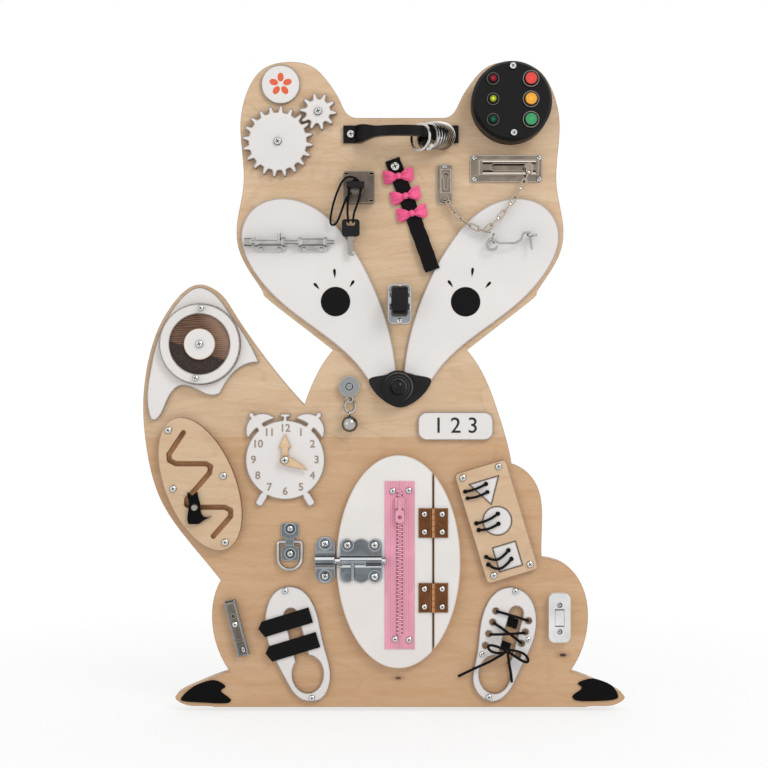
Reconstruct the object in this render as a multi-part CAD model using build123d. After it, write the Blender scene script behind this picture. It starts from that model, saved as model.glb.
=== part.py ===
from build123d import *
from math import atan2, cos, degrees, hypot, radians, sin, sqrt, tan
import os

# A wall-hung activity board, cut as a sitting fox from plywood, with toys and fittings screwed to its front.
# X runs to the right, Z up from the bottom edge, and the back face lies in the plane y = 0.
# "Depth" is the distance out from that back face, so a point at depth d has y = -d.

# ---------------------------------------------------------------- driving dimensions, mm

BOARD_THICK = 18.0
PLY = 4.0                   # painted plates on the board
RUN = 0.3                   # gap between faces that slide or turn past each other
FIT = 0.1                   # radial play of a bore on its shaft
SHAFT = 5.0                 # pivot screws
HEAD_DIA = 8.0
HEAD_TALL = 2.2
SCREW_DEEP = 12.0           # how far a pivot screw goes into the board

# outline of the board
HEAD_TOP = 589.0
EAR_TOP = 645.0
CHIN_LOW = 305.0
HEAD_SIDE = (
    (44, HEAD_TOP), (60, 606), (71.5, 624.5), (87, 640), (113, EAR_TOP), (137, 638), (153, 615), (159.5, 585),
    (156.5, 522), (163, 483), (157, 447), (137, 415), (111, 391),
)
BODY_SIDE = ((30, 380), (66, 358), (86, 327), (98, 295), (111, 247), (113, 200))
THIGH_SIDE = ((96, 241.5), (118, 241), (135, 225), (142, 185), (143, 140))
HAUNCH_SIDE = ((120, 149.5), (143, 149), (164, 143), (183, 119), (188, 91), (182, 58), (166, 30))
FOOT_SIDE = ((150, 38), (183, 31), (208, 20.5), (221, 14), (224.6, 9.8), (219, 4.2), (203, 1), (185, 0))
TAIL_SIDE = (
    (-177, 124), (-204, 157), (-240, 209), (-254, 263), (-256.8, 305), (-253.5, 337), (-243.5, 374), (-228, 402),
    (-200, 422.5), (-182, 415), (-168.5, 397), (-152, 372), (-128, 339.5), (-94, 300),
)

# eye plates, nose plate, tail plate
NOSE_MIDDLE = 317.0
NOSE_HALF_TALL = 17.5
NOSE_HALF_WIDE = 31.0
NOSE_CORNER_DROP = 7.5      # from the nose's top to its two corners
EYE_NOSE_GAP = 0.3
EYE_SIDE = (
    (-30, 324), (-58, 357.4), (-110, 397), (-145, 434), (-158, 476), (-146, 498), (-120, 508),
    (-84, 498), (-51, 464.5), (-27, 421), (-9, 367.6), (-3.5, 322),
)
TAIL_PLATE_OUTER = (
    (-140.6, 344.4), (-152.4, 368), (-171, 395.5), (-188, 415), (-201, 419.4), (-213, 413.5), (-228, 396),
    (-241.5, 369), (-249, 338), (-251.8, 300), (-249, 288.5),
)
TAIL_PLATE_LOW = (
    (-249, 288.5), (-244.5, 286.8), (-240.5, 290), (-231.8, 307.6), (-219.5, 321), (-205, 318.2), (-190, 311.8),
    (-179.5, 313.5),
)
TAIL_PLATE_BARB = ((-179.5, 313.5), (-171, 328), (-161.5, 338), (-140.6, 344.4))
TAIL_RING = (-199.3, 362.7)
TAIL_RING_OUTER = 40.0
TAIL_RING_INNER = 30.0
TAIL_RING_THICK = 6.0
DISC_THICK = 4.0
DISC_CAP_DIA = 31.0
DISC_CAP_THICK = 2.5

# gears
GEAR_MODULE = 3.345
GEAR_THICK = 6.0
BIG_TEETH = 20
SMALL_TEETH = 10
BIG_GEAR = (-121.9, 564.7)
SMALL_GEAR_ANGLE = 36.6     # direction of the small gear's centre from the big gear's
TOOTH_ROOT = 5.6
TOOTH_TIP = 3.4
TOOTH_OVER = 2.2            # tip above the pitch circle
TOOTH_UNDER = 4.2           # root below the pitch circle

# light box
LIGHT_BOX = (110.0, 601.5)
LIGHT_BOX_DIA = 79.0
LIGHT_BOX_DEEP = 28.0
LIGHT_BOX_EDGE = 4.0
BUTTON_COLUMN = 18.2
LAMP_COLUMN = -19.0
LIGHT_ROWS = (21.0, 1.0, -19.0)
BUTTON_DIA = 11.6
BUTTON_TALL = 5.5
BUTTON_TRAVEL = 2.5
BUTTON_BEZEL_DIA = 16.0
BUTTON_BEZEL_TALL = 2.0
LAMP_BEZEL_DIA = 12.0
LAMP_DIA = 6.0
LAMP_TALL = 4.5

# bow handle and its rings
HANDLE_UNDER = 16.8         # from the board's top edge down to the handle
HANDLE = (0.9, HEAD_TOP - HANDLE_UNDER)
HANDLE_CENTRES = 100.0
HANDLE_FOOT = 15.0          # length of a foot
HANDLE_FOOT_TALL = 17.5
HANDLE_FOOT_THICK = 3.5
HANDLE_OUT = 30.0           # projection from the board
BAR_THICK = 7.0
BAR_TALL = 10.0
BAR_FLAT_HALF = 21.0        # half of the stretch where the bar keeps its height
RING_DIA = 28.0
RING_WIRE = 2.0
RING_THICK = 1.4
RING_COUNT = 8
RING_FIRST = 33.0           # place of the packed rings round the bow, degrees from its top
RING_STEP = 3.3
RING_TILT = 45.0
RING_TILT_STEP = 4.1
LOOSE_RING = (23.0, 42.0)   # place and tilt of the ring that stands apart

# lock and keys
LOCK_CASE = (-41.0, 518.8)
LOCK_WIDE = 31.5
LOCK_TALL = 32.0
LOCK_DEEP = 9.0
BARREL = (-44.0, 517.6)
BARREL_DIA = 15.0
BARREL_DEEP = 9.0
PLUG_DIA = 11.0
KEY_HEAD_WIDE = 17.6
KEY_HEAD_TALL = 17.0
KEY_HEAD_THICK = 5.0
KEY_BLADE_WIDE = 6.4
KEY_BLADE_THICK = 2.0
KEY_BLADE_LONG = 19.0
KEY_NECK = 7.0
KEY_HOLE_DIA = 5.0
CORD_DIA = 2.2
SPARE_KEY = (-49.0, 478.0)

# strap with ribbon bows
STRAP_SCREW = (-5.0, 540.0)
STRAP_TILT = 19.8
STRAP_WIDE = 15.0
STRAP_THICK = 2.2
STRAP_LONG = 118.0
STRAP_ABOVE = 7.8           # from the screw to the top end
BOW_PLACES = (18.0, 39.0, 57.5)
BOW_WIDE = 31.0
BOW_TALL = 14.0
BOW_THICK = 6.0

# door chain
SHEET = 1.5                 # sheet steel of the stamped fittings
TRACK_WIDE = 72.0
TRACK_TALL = 27.0
TRACK_UNDER = 10.3          # from the light box down to the track's plate
TRACK = (106.0, LIGHT_BOX[1] - LIGHT_BOX_DIA / 2 - TRACK_UNDER - TRACK_TALL / 2)
TRACK_BOX_WIDE = 59.0
TRACK_BOX_TALL = 15.0
TRACK_BOX_ASIDE = 2.2       # the raised box stands right of the plate's middle
TRACK_BOX_DEEP = 7.0
TRACK_SLOT_TALL = 7.0
SLIDER_X = 128.2
SLIDER_TRAVEL = 34.0
SLIDER_NECK = 6.2
SLIDER_FOOT = 10.0          # the slider's disc inside the box
SLIDER_HEAD = 8.0
KEEPER = (44.5, 522.8)
KEEPER_WIDE = 16.0
KEEPER_TALL = 39.0
CHAIN_PIVOT = (44.4, 508.2)
CHAIN_LOW = (87.5, 474.0)
LINK_WIRE = 1.4
LINK_WIDE = 5.8
LINK_PLAY = 0.4             # looseness from one link to the next
CHAIN_MEET = (-2.8, 1.6)    # end of the right run from the left one's: the last links pass through each other
CHAIN_RIGHT_SAG = 0.06      # how far a run hangs below its straight line, as a share of it
CHAIN_LEFT_SAG = 0.12
CHAIN_RIGHT_LINKS = 8
CHAIN_LEFT_LINKS = 5
CHANNEL = (45.6, 525.2)     # raised channel of the keeper, with the keyhole that takes the slider
CHANNEL_WIDE = 10.0
CHANNEL_TALL = 24.0
CHANNEL_DEEP = 4.5

# slide bolt on the left eye
BOLT_AXIS = (-112.0, 464.0)
BOLT_ROD_DIA = 4.0
BOLT_ROD_LEFT = -152.0
BOLT_ROD_RIGHT = -65.0
BOLT_CASES = ((-144.0, -114.5), (-100.4, -73.0))
BOLT_CASE_TALL = 14.4
BOLT_RISE = 6.0             # rod axis above the plate it is mounted on
BOLT_TRAVEL = 21.0
BOLT_COLLAR = 2.4

# cabin hook on the right eye
HOOK_EYE = (92.7, 467.4)
HOOK_RING_DIA = 11.4
HOOK_WIRE = 1.8
CATCH_EYE = (130.6, 470.7)
EYE_RING_DIA = 10.0

# caster
CASTER = (-0.5, 403.0)
CASTER_WIDE = 23.0
CASTER_TALL = 39.5
CASTER_CORNER = 5.0
WHEEL_DIA = 29.0
WHEEL_WIDE = 16.5
AXLE_DIA = 4.0

# bell on the nose
BELL_ABOVE = 3.0            # the bell's middle above the nose's
BELL = (-2.0, NOSE_MIDDLE + BELL_ABOVE)
BELL_BASE_DIA = 33.0
BELL_DEEP = 10.0
BELL_DOME_DIA = 27.0
BELL_KNOB_DIA = 17.0

# jingle bell
HANGER = (-50.6, 320.4)
HANGER_DIA = 20.6
JINGLE_RING_DIA = 14.4
JINGLE_DIA = 16.0

# clock
CLOCK = (-114.6, 247.3)
CLOCK_DIA = 79.2
CLOCK_BELL_RADIUS = 17.2
CLOCK_BELL_OUT = 36.8
CLOCK_SLOT = 3.0
HAND_THICK = 2.5

# maze
MAZE = (-199.0, 223.5)
MAZE_LONG = 140.0
MAZE_WIDE = 70.0
MAZE_TILT = 22.0
MAZE_THICK = 8.0
GROOVE = 4.6
GROOVE_UNDERCUT = 9.4
GROOVE_UNDERCUT_DEEP = 3.4
CAT_SCREW = (-204.0, 200.4)
CAT_THICK = 4.0
CAT_TRAVEL = 26.0

# D ring
D_PLATE = (-110.0, 165.2)
D_PLATE_WIDE = 18.0
D_PLATE_TALL = 37.6
D_RING_WIDE = 27.0
D_RING_TALL = 31.0
D_WIRE = 3.2
D_NECK_WIDE = 9.0
D_CORNER = 3.0

# belly door
DOOR_CENTRE = (-1.6, 146.2)
DOOR_HALF_WIDE = 61.5
DOOR_HALF_TALL = 106.0
DOOR_THICK = 8.0
DOOR_SPLIT = 33.0
DOOR_GAP = 2.0
HINGE_TALL = 29.4
HINGE_LEAF_WIDE = 14.0
HINGE_HEIGHTS = (184.8, 110.5)
HINGE_SHEET = 1.2
KNUCKLE_DIA = 4.0
PIN_DIA = 2.0
KNUCKLES = 5
ZIP_X = -0.4
ZIP_WIDE = 29.6
ZIP_TOP = 227.0
ZIP_LONG = 168.0
ZIP_THICK = 1.0
ZIP_TEETH_WIDE = 6.0
ZIP_TRAVEL = 120.0
ZIP_SLIDER_Z = 205.0
PULLER_WIDE = 8.4
PULLER_TALL = 13.0

# latch of the door
LATCH_AXIS_Z = 147.3
LATCH_ROD_DIA = 6.5
LATCH_RISE = 4.6            # rod axis above the door's face
LATCH_CASE_LEFT = -59.7
LATCH_CASE_WIDE = 41.9
LATCH_CASE_TALL = 43.7
LATCH_KEEPER_X = -74.8
LATCH_KEEPER_WIDE = 19.4
LATCH_KEEPER_TALL = 46.0
LATCH_THROW = 8.0
LATCH_BACK = 10.0
BOSS_DIA = 11.0             # raised round the screws of the latch
BOSS_TALL = 0.8
LATCH_BOSS = (13.5, 15.6)   # from the middle of the case
KEEPER_BOSS = 16.1          # from the middle of the keeper
KEEPER_ROUND = 2.5          # outer edges of its bridge

# shapes board
SHAPES = (96.0, 186.0)
SHAPES_WIDE = 53.0
SHAPES_TALL = 114.0
SHAPES_TILT = 16.8
SHAPES_THICK = 6.0
SHAPE_LIFT = 12.0
LACE_DIA = 2.7

# shoes
SHOE_STRAP_WIDE = 15.6
SHOE_STRAP_LONG = 54.0
SHOE_STRAP_TILT = 17.0
SHOE_TILT = 14.6
LEFT_SHOE = (
    (-109.3, 121.3), (-125.4, 115), (-134.3, 94), (-131.6, 64), (-114.6, 28.4), (-98, 8),
    (-80, 8), (-69.6, 26.6), (-76.2, 64), (-86.1, 102.5), (-95.9, 116), (-109.3, 121.3),
)
LEFT_SLOT = (-103.3, 71.0)
LEFT_OPENING = (-92.0, 33.6)
RIGHT_SHOE = (
    (110.7, 120.7), (95.5, 115.3), (82, 92), (76, 50.3), (72.6, 26), (80.4, 11.2),
    (93.4, 6), (107, 14), (119.4, 36.2), (133, 66), (136.2, 90.4), (131, 108), (110.7, 120.7),
)
RIGHT_SLOT = (110.5, 73.0)
RIGHT_OPENING = (94.3, 33.2)
SHOE_SLOT = (58.0, 13.5)
SHOE_OPENING = (30.8, 37.6)
EYELET_DIA = 6.0
EYELETS = (
    (95.5, 96.7), (92.5, 85.5), (88.5, 73.9), (85.2, 62.2),
    (128.3, 86.9), (125, 75.7), (121.3, 64.4), (117.8, 53),
)

# plain plates
NAME_PLATE = (55.5, 281.0)
NAME_PLATE_SIZE = (75.0, 28.0)
NAME_PLATE_CORNER = 9.0
BADGE = (-119.2, 622.1)
BADGE_DIA = 39.0
BADGE_THICK = 3.0

# rocker switch
SWITCH = (158.7, 90.3)
SWITCH_WIDE = 21.5
SWITCH_TALL = 48.7
SWITCH_DEEP = 9.0
ROCKER_WIDE = 8.8
ROCKER_TALL = 17.0

# lever strip at the lower left
STRIP = (-162.8, 79.3)
STRIP_TILT = 14.6
STRIP_LONG = 57.0
STRIP_WIDE = 11.0
STRIP_DEEP = 7.0

FRONT = BOARD_THICK
PLATE_FRONT = FRONT + PLY
PIVOT_BORE = SHAFT + 2 * FIT
NODES = {}


# ---------------------------------------------------------------- helpers


def facing(depth):
    """The plane at this depth, with X and Z as its own axes and its normal out of the front."""
    return Plane(origin=(0, -depth, 0), x_dir=(1, 0, 0), z_dir=(0, -1, 0))


def slab(outline, depth, thick, taper=0):
    """An outline drawn in X and Z, standing out from a depth by a thickness."""
    return extrude(facing(depth) * outline, amount=thick, taper=taper)


def disc(place, dia, depth, thick, taper=0):
    return slab(Pos(*place) * Circle(dia / 2), depth, thick, taper)


def bar(place, size, depth, thick, tilt=0.0):
    """A block by its middle in X and Z, its width and height there, and its depth."""
    return slab(Pos(*place) * Rot(0, 0, tilt) * Rectangle(*size), depth, thick)


def area(*edges):
    return make_face(Curve() + list(edges))


def mirrored(piece):
    return piece + mirror(piece, about=Plane.YZ)


def turned(dx, dz, tilt, centre):
    """The place of a point given on a fitting's own axes."""
    c, s = cos(radians(tilt)), sin(radians(tilt))
    return (centre[0] + dx * c - dz * s, centre[1] + dx * s + dz * c)


def along_x(profile_yz, left, length):
    """A profile drawn in depth and height, run from left to right."""
    plane = Plane(origin=(left + length, 0, 0), x_dir=(0, -1, 0), z_dir=(-1, 0, 0))
    return extrude(plane * profile_yz, amount=length)


def rod_x(x0, x1, depth, z, dia):
    return Pos((x0 + x1) / 2, -depth, z) * Rot(0, 90, 0) * Cylinder(dia / 2, x1 - x0)


def rod_z(z0, z1, x, depth, dia):
    return Pos(x, -depth, (z0 + z1) / 2) * Cylinder(dia / 2, z1 - z0)


def pan_head(place, depth, dia=HEAD_DIA, tall=HEAD_TALL):
    return disc(place, dia, depth, tall, taper=28)


def pivot_screw(place, seat):
    """A screw whose head stands at the seat depth and whose shank goes into the board."""
    shank = disc(place, SHAFT, FRONT - SCREW_DEEP, seat - FRONT + SCREW_DEEP)
    return shank + pan_head(place, seat)


def wire(points, radii, dia, sides=6):
    """A wire or cord of even section along straight runs joined by arcs."""
    path = FilletPolyline(*points, radius=radii)
    start = Plane(origin=path @ 0, z_dir=path % 0)
    return sweep(start * RegularPolygon(dia / 2, sides), path=path)


def soft_radii(points):
    """The largest arcs that each corner of a cord's route has room for."""
    radii = []
    for a, b, c in zip(points, points[1:], points[2:]):
        one = Vector(*b) - Vector(*a)
        two = Vector(*c) - Vector(*b)
        turn = radians(one.get_angle(two))
        radii.append(0.45 * min(one.length, two.length) / tan(turn / 2))
    return radii


def out(place, depth):
    return (place[0], -depth, place[1])


# ---------------------------------------------------------------- the board


def closed_by(side, *rest):
    """A face bounded by a smooth side and straight lines from its last point back to its first."""
    return area(side, Polyline(side @ 1, *rest, side @ 0))


def half_head():
    ear = Spline(*HEAD_SIDE, tangents=((1, 0.1), (-1.3, -1)))
    return closed_by(ear, (0, CHIN_LOW), (0, HEAD_TOP))


def body():
    side = Spline(*BODY_SIDE)
    return closed_by(side, (BODY_SIDE[-1][0], 0), (0, 0), (0, BODY_SIDE[0][1]))


def thigh():
    side = Spline(*THIGH_SIDE)
    return closed_by(side, (THIGH_SIDE[0][0], THIGH_SIDE[-1][1]))


def haunch():
    side = Spline(*HAUNCH_SIDE)
    inner = BODY_SIDE[-1][0] - PLY
    return closed_by(side, (HAUNCH_SIDE[-1][0] - PLY, PLY), (inner, PLY), (inner, HAUNCH_SIDE[0][1]))


def foot():
    side = Spline(*FOOT_SIDE)
    return closed_by(side, (BODY_SIDE[-1][0] - PLY, 0))


def tail():
    side = Spline(*TAIL_SIDE)
    return closed_by(side, (-BODY_SIDE[0][0], TAIL_SIDE[0][1]))


def board():
    outline = mirrored(half_head()) + mirrored(body()) + mirrored(haunch()) + mirrored(foot()) + thigh() + tail()
    piece = slab(outline, 0, BOARD_THICK)
    for place, _ in PIVOTS:
        piece -= disc(place, SHAFT, FRONT - SCREW_DEEP, SCREW_DEEP)
    return piece


# ---------------------------------------------------------------- plates on the face


def nose_outline(grown=0.0):
    high, low = NOSE_MIDDLE + NOSE_HALF_TALL + grown, NOSE_MIDDLE - NOSE_HALF_TALL - grown
    wide, corner = NOSE_HALF_WIDE + grown, high - NOSE_CORNER_DROP
    half, cheek = 0.45 * wide, low + 0.6 * NOSE_HALF_TALL
    top = Spline((-wide, corner), (-half, high - 2.5), (0, high), (half, high - 2.5), (wide, corner))
    sides = Spline((wide, corner), (0.65 * wide, cheek), (0, low), (-0.65 * wide, cheek), (-wide, corner))
    return area(top, sides)


def eye_plate():
    return closed_by(Spline(*EYE_SIDE)) - nose_outline(EYE_NOSE_GAP)


def face_plates():
    eye = slab(eye_plate(), FRONT, PLY)
    return [eye, mirror(eye, about=Plane.YZ), slab(nose_outline(), FRONT, PLY)]


def tail_plates():
    outline = area(Spline(*TAIL_PLATE_OUTER), Spline(*TAIL_PLATE_LOW), Spline(*TAIL_PLATE_BARB))
    plate = slab(outline, FRONT, PLY) - disc(TAIL_RING, SHAFT, FRONT, PLY)
    ring = disc(TAIL_RING, 2 * TAIL_RING_OUTER, PLATE_FRONT, TAIL_RING_THICK)
    ring -= disc(TAIL_RING, 2 * TAIL_RING_INNER, PLATE_FRONT, TAIL_RING_THICK)
    return [plate, ring]


DISC_DEPTH = PLATE_FRONT + RUN
DISC_CAP_DEPTH = DISC_DEPTH + DISC_THICK
DISC_FRONT = DISC_CAP_DEPTH + DISC_CAP_THICK


def texture_disc():
    plate = disc(TAIL_RING, 2 * (TAIL_RING_INNER - RUN), DISC_DEPTH, DISC_THICK)
    plate += disc(TAIL_RING, DISC_CAP_DIA, DISC_CAP_DEPTH, DISC_CAP_THICK)
    return plate - disc(TAIL_RING, PIVOT_BORE, DISC_DEPTH, DISC_THICK + DISC_CAP_THICK)


def white_plates():
    name = slab(Pos(*NAME_PLATE) * RectangleRounded(*NAME_PLATE_SIZE, NAME_PLATE_CORNER), FRONT, PLY)
    return shoe_plates() + [name, disc(BADGE, BADGE_DIA, FRONT, BADGE_THICK)]


# ---------------------------------------------------------------- gears

PITCH_BIG = GEAR_MODULE * BIG_TEETH / 2
PITCH_SMALL = GEAR_MODULE * SMALL_TEETH / 2
SMALL_GEAR = (
    BIG_GEAR[0] + (PITCH_BIG + PITCH_SMALL) * cos(radians(SMALL_GEAR_ANGLE)),
    BIG_GEAR[1] + (PITCH_BIG + PITCH_SMALL) * sin(radians(SMALL_GEAR_ANGLE)),
)
GEAR_DEPTH = FRONT + RUN


def gear(place, teeth, first_tooth):
    """A plywood gear with round-ended teeth; the first tooth points at an angle from X."""
    pitch = GEAR_MODULE * teeth / 2
    root, tip = pitch - TOOTH_UNDER, pitch + TOOTH_OVER
    base = root - 1
    shoulder = tip - TOOTH_TIP / 2
    flanks = Polyline(
        (shoulder, -TOOTH_TIP / 2), (base, -TOOTH_ROOT / 2), (base, TOOTH_ROOT / 2), (shoulder, TOOTH_TIP / 2),
    )
    tooth = area(flanks, ThreePointArc((shoulder, TOOTH_TIP / 2), (tip, 0), (shoulder, -TOOTH_TIP / 2)))
    outline = Sketch() + Circle(root)
    outline += [Rot(0, 0, first_tooth + 360 * k / teeth) * tooth for k in range(teeth)]
    outline -= Circle(PIVOT_BORE / 2)
    return slab(Pos(*place) * outline, GEAR_DEPTH, GEAR_THICK)


# ---------------------------------------------------------------- light box

LIGHT_FACE = FRONT + LIGHT_BOX_DEEP


def light_place(column, row):
    return (LIGHT_BOX[0] + column, LIGHT_BOX[1] + row)


def light_box():
    straight = LIGHT_BOX_DEEP - LIGHT_BOX_EDGE
    case = disc(LIGHT_BOX, LIGHT_BOX_DIA, FRONT, straight)
    case += disc(LIGHT_BOX, LIGHT_BOX_DIA, FRONT + straight, LIGHT_BOX_EDGE, taper=35)
    bore = BUTTON_DIA + 2 * RUN
    pieces = []
    for row in LIGHT_ROWS:
        place = light_place(BUTTON_COLUMN, row)
        case -= disc(place, bore, LIGHT_FACE - BUTTON_TALL, BUTTON_TALL)
        bezel = disc(place, BUTTON_BEZEL_DIA, LIGHT_FACE, BUTTON_BEZEL_TALL)
        pieces.append(bezel - disc(place, bore, LIGHT_FACE, BUTTON_BEZEL_TALL))
        lamp = light_place(LAMP_COLUMN, row)
        pieces.append(disc(lamp, LAMP_BEZEL_DIA, LIGHT_FACE, 1.5) + disc(lamp, LAMP_DIA, LIGHT_FACE, LAMP_TALL))
    return [case] + pieces


def button(row):
    place = light_place(BUTTON_COLUMN, row)
    inner = BUTTON_TALL - BUTTON_TRAVEL - RUN
    return disc(place, BUTTON_DIA, LIGHT_FACE - inner, inner + BUTTON_BEZEL_TALL + BUTTON_TRAVEL)


# ---------------------------------------------------------------- bow handle and rings

BOW_CHORD = (HANDLE_CENTRES + HANDLE_FOOT) / 2 - HANDLE_FOOT
BOW_START = FRONT + HANDLE_FOOT_THICK / 2
BOW_SAG = FRONT + HANDLE_OUT - BAR_THICK / 2 - BOW_START
BOW_RADIUS = (BOW_CHORD ** 2 + BOW_SAG ** 2) / (2 * BOW_SAG)
BOW_CENTRE = BOW_START + BOW_SAG - BOW_RADIUS      # depth of the arc's centre
HANDLE_HALF = (HANDLE_CENTRES + HANDLE_FOOT) / 2


def bar_half_height(x):
    """Half the bar's height at a distance from the handle's middle: it flares towards the feet."""
    share = (abs(x) - BAR_FLAT_HALF) / (BOW_CHORD - BAR_FLAT_HALF)
    share = min(1.0, max(0.0, share))
    return BAR_TALL / 2 + (HANDLE_FOOT_TALL - BAR_TALL) / 2 * share * share * (3 - 2 * share)


def bow_handle():
    flat, foot_x = BAR_FLAT_HALF, BOW_CHORD
    low, high = BAR_TALL / 2, HANDLE_FOOT_TALL / 2
    flare = Spline((flat, low), ((flat + foot_x) / 2, (low + high) / 2), (foot_x, high), tangents=((1, 0), (1, 0)))
    rest = Polyline((foot_x, high), (HANDLE_HALF, high), (HANDLE_HALF, 0), (0, 0), (0, low), (flat, low))
    corner = area(flare, rest)
    face = mirrored(corner)
    face += mirror(face, about=Plane.XZ)
    front = slab(Pos(*HANDLE) * face, FRONT, HANDLE_OUT)
    ring = Circle(BOW_RADIUS + BAR_THICK / 2) - Circle(BOW_RADIUS - BAR_THICK / 2)
    arch = extrude(Pos(HANDLE[0], -BOW_CENTRE, HANDLE[1] - high) * ring, amount=2 * high)
    feet = Pos(HANDLE[0], -FRONT - HANDLE_FOOT_THICK / 2, HANDLE[1]) * (
        Pos(-(HANDLE_CENTRES) / 2, 0, 0) * Box(HANDLE_FOOT, HANDLE_FOOT_THICK, HANDLE_FOOT_TALL)
        + Pos(HANDLE_CENTRES / 2, 0, 0) * Box(HANDLE_FOOT, HANDLE_FOOT_THICK, HANDLE_FOOT_TALL)
    )
    return (arch & front) + feet


def key_ring(place, tilt):
    """A split ring round the bar, at a place along the bow and turned by its tilt."""
    x = BOW_RADIUS * sin(radians(place))
    depth = BOW_CENTRE + BOW_RADIUS * cos(radians(place))
    inner = RING_DIA / 2 - RING_WIRE
    hang = sqrt((inner - RUN) ** 2 - (BAR_THICK / 2 + 0.5) ** 2) - bar_half_height(x + 3)
    ring = Circle(RING_DIA / 2) - Circle(inner)
    stand = Pos(HANDLE[0] + x, -depth, HANDLE[1] - hang) * Rot(0, 0, tilt) * Rot(0, 90, 0)
    return stand * extrude(ring, amount=RING_THICK / 2, both=True)


def key_rings():
    rings = [key_ring(*LOOSE_RING)]
    for k in range(RING_COUNT):
        rings.append(key_ring(RING_FIRST + RING_STEP * k, RING_TILT + RING_TILT_STEP * k))
    return rings


# ---------------------------------------------------------------- lock and keys

BARREL_FRONT = FRONT + LOCK_DEEP + BARREL_DEEP
KEY_HEAD_DEPTH = BARREL_FRONT + KEY_NECK


def lock_case():
    outline = RectangleRounded(LOCK_WIDE, LOCK_TALL, 3)
    for dx in (-1, 1):
        for dz in (-1, 1):
            outline -= Pos(dx * (LOCK_WIDE / 2 - 3.5), dz * (LOCK_TALL / 2 - 2.6)) * Rectangle(4, 1.8)
    case = slab(Pos(*LOCK_CASE) * outline, FRONT, LOCK_DEEP)
    case += disc(BARREL, BARREL_DIA, FRONT + LOCK_DEEP, BARREL_DEEP)
    return case - disc(BARREL, PLUG_DIA + 2 * FIT, FRONT + 2, BARREL_DEEP + LOCK_DEEP - 2)


def lock_key():
    """The plug that turns in the barrel, and the key that stands in it."""
    plug = disc(BARREL, PLUG_DIA, FRONT + 2 + RUN, BARREL_FRONT - FRONT - 2 - RUN)
    neck = bar(BARREL, (KEY_BLADE_WIDE, KEY_BLADE_THICK), BARREL_FRONT, KEY_NECK)
    profile = RectangleRounded(KEY_HEAD_TALL, KEY_HEAD_WIDE, 3)
    profile -= Pos(KEY_HEAD_TALL / 2 - 4, 0) * Circle(KEY_HOLE_DIA / 2)
    plane = Plane(origin=out(BARREL, KEY_HEAD_DEPTH + KEY_HEAD_TALL / 2), x_dir=(0, -1, 0), z_dir=(0, 0, 1))
    head = extrude(plane * profile, amount=KEY_HEAD_THICK / 2, both=True)
    return [plug, neck + head]


SPARE_DEPTH = PLATE_FRONT + 6


def spare_key():
    top = SPARE_KEY[1] + KEY_HEAD_TALL / 2
    head = Pos(*SPARE_KEY) * RectangleRounded(KEY_HEAD_WIDE, KEY_HEAD_TALL, 3)
    head -= Pos(SPARE_KEY[0], top - 4) * SlotOverall(9, KEY_HOLE_DIA)
    low = SPARE_KEY[1] - KEY_HEAD_TALL / 2
    blade = Pos(SPARE_KEY[0], low - KEY_BLADE_LONG / 2) * Rectangle(KEY_BLADE_WIDE, KEY_BLADE_LONG)
    for k, cut in enumerate((1.2, 2.0, 0.8, 1.6)):
        blade -= Pos(SPARE_KEY[0] + KEY_BLADE_WIDE / 2, low - 5 - 3.6 * k) * Rectangle(2 * cut, 2)
    blade -= Pos(SPARE_KEY[0] - KEY_BLADE_WIDE / 2, low - KEY_BLADE_LONG) * Rot(0, 0, 45) * Rectangle(3, 3)
    shank = slab(blade, SPARE_DEPTH - KEY_BLADE_THICK / 2, KEY_BLADE_THICK)
    return slab(head, SPARE_DEPTH - KEY_HEAD_THICK / 2, KEY_HEAD_THICK) + shank


def key_cord():
    """Elastic cord: a hanging pair of strands to the spare key, and a loose loop beside them."""
    neck = BARREL_FRONT + 1.7
    x, z = BARREL
    hole_z = SPARE_KEY[1] + KEY_HEAD_TALL / 2 - 4
    in_hole = hole_z + KEY_HOLE_DIA / 2 - CORD_DIA / 2 - RUN
    apart = CORD_DIA
    pair = [
        (SPARE_KEY[0] - apart, -SPARE_DEPTH, in_hole), (SPARE_KEY[0] - apart, -SPARE_DEPTH - 5.2, in_hole),
        (SPARE_KEY[0] - 3.4, -SPARE_DEPTH - 5.6, hole_z + 10),
        (x - 7.5, -neck, z - 12), (x - 6.2, -neck, z + 3), (x - 0.2, -neck, z + 8), (x + 6.0, -neck, z + 3),
        (x + 3.6, -neck, z - 12), (SPARE_KEY[0] + 3.2, -SPARE_DEPTH - 5.6, hole_z + 10),
        (SPARE_KEY[0] + apart, -SPARE_DEPTH - 5.2, in_hole), (SPARE_KEY[0] + apart, -SPARE_DEPTH, in_hole),
    ]
    depth = neck + CORD_DIA + 0.5
    loop = [
        (x + 5.4, -depth, z - 4.5), (x + 5.4, -depth, z + 3), (x - 1, -depth, z + 9.5), (x - 11, -depth, z + 9.5),
        (x - 19, -depth + 4, z - 6), (x - 24, -depth + 10, z - 24), (x - 24.5, -depth + 12, z - 36),
        (x - 18, -depth + 11, z - 33), (x - 12, -depth + 7, z - 20), (x - 9.0, -depth + 1.0, z - 8),
        (x - 4, -depth, z - 6.6),
    ]
    cords = []
    for route in (pair, loop):
        cords.append(wire(route, soft_radii(route), CORD_DIA))
    return cords


# ---------------------------------------------------------------- strap with ribbon bows


def strap_plane():
    """Along the strap from its top end, with its own Y across it."""
    down = (sin(radians(STRAP_TILT)), 0, -cos(radians(STRAP_TILT)))
    top = (STRAP_SCREW[0] - STRAP_ABOVE * down[0], 0, STRAP_SCREW[1] - STRAP_ABOVE * down[2])
    return Plane(origin=top, x_dir=down, z_dir=(down[2], 0, -down[0]))


def strap_depth(place):
    """Depth of the strap's back: on the board at the top, and over the eye plate at its end."""
    share = min(1.0, max(0.0, (place - 72) / 16))
    return FRONT + RUN + PLY * share


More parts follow.
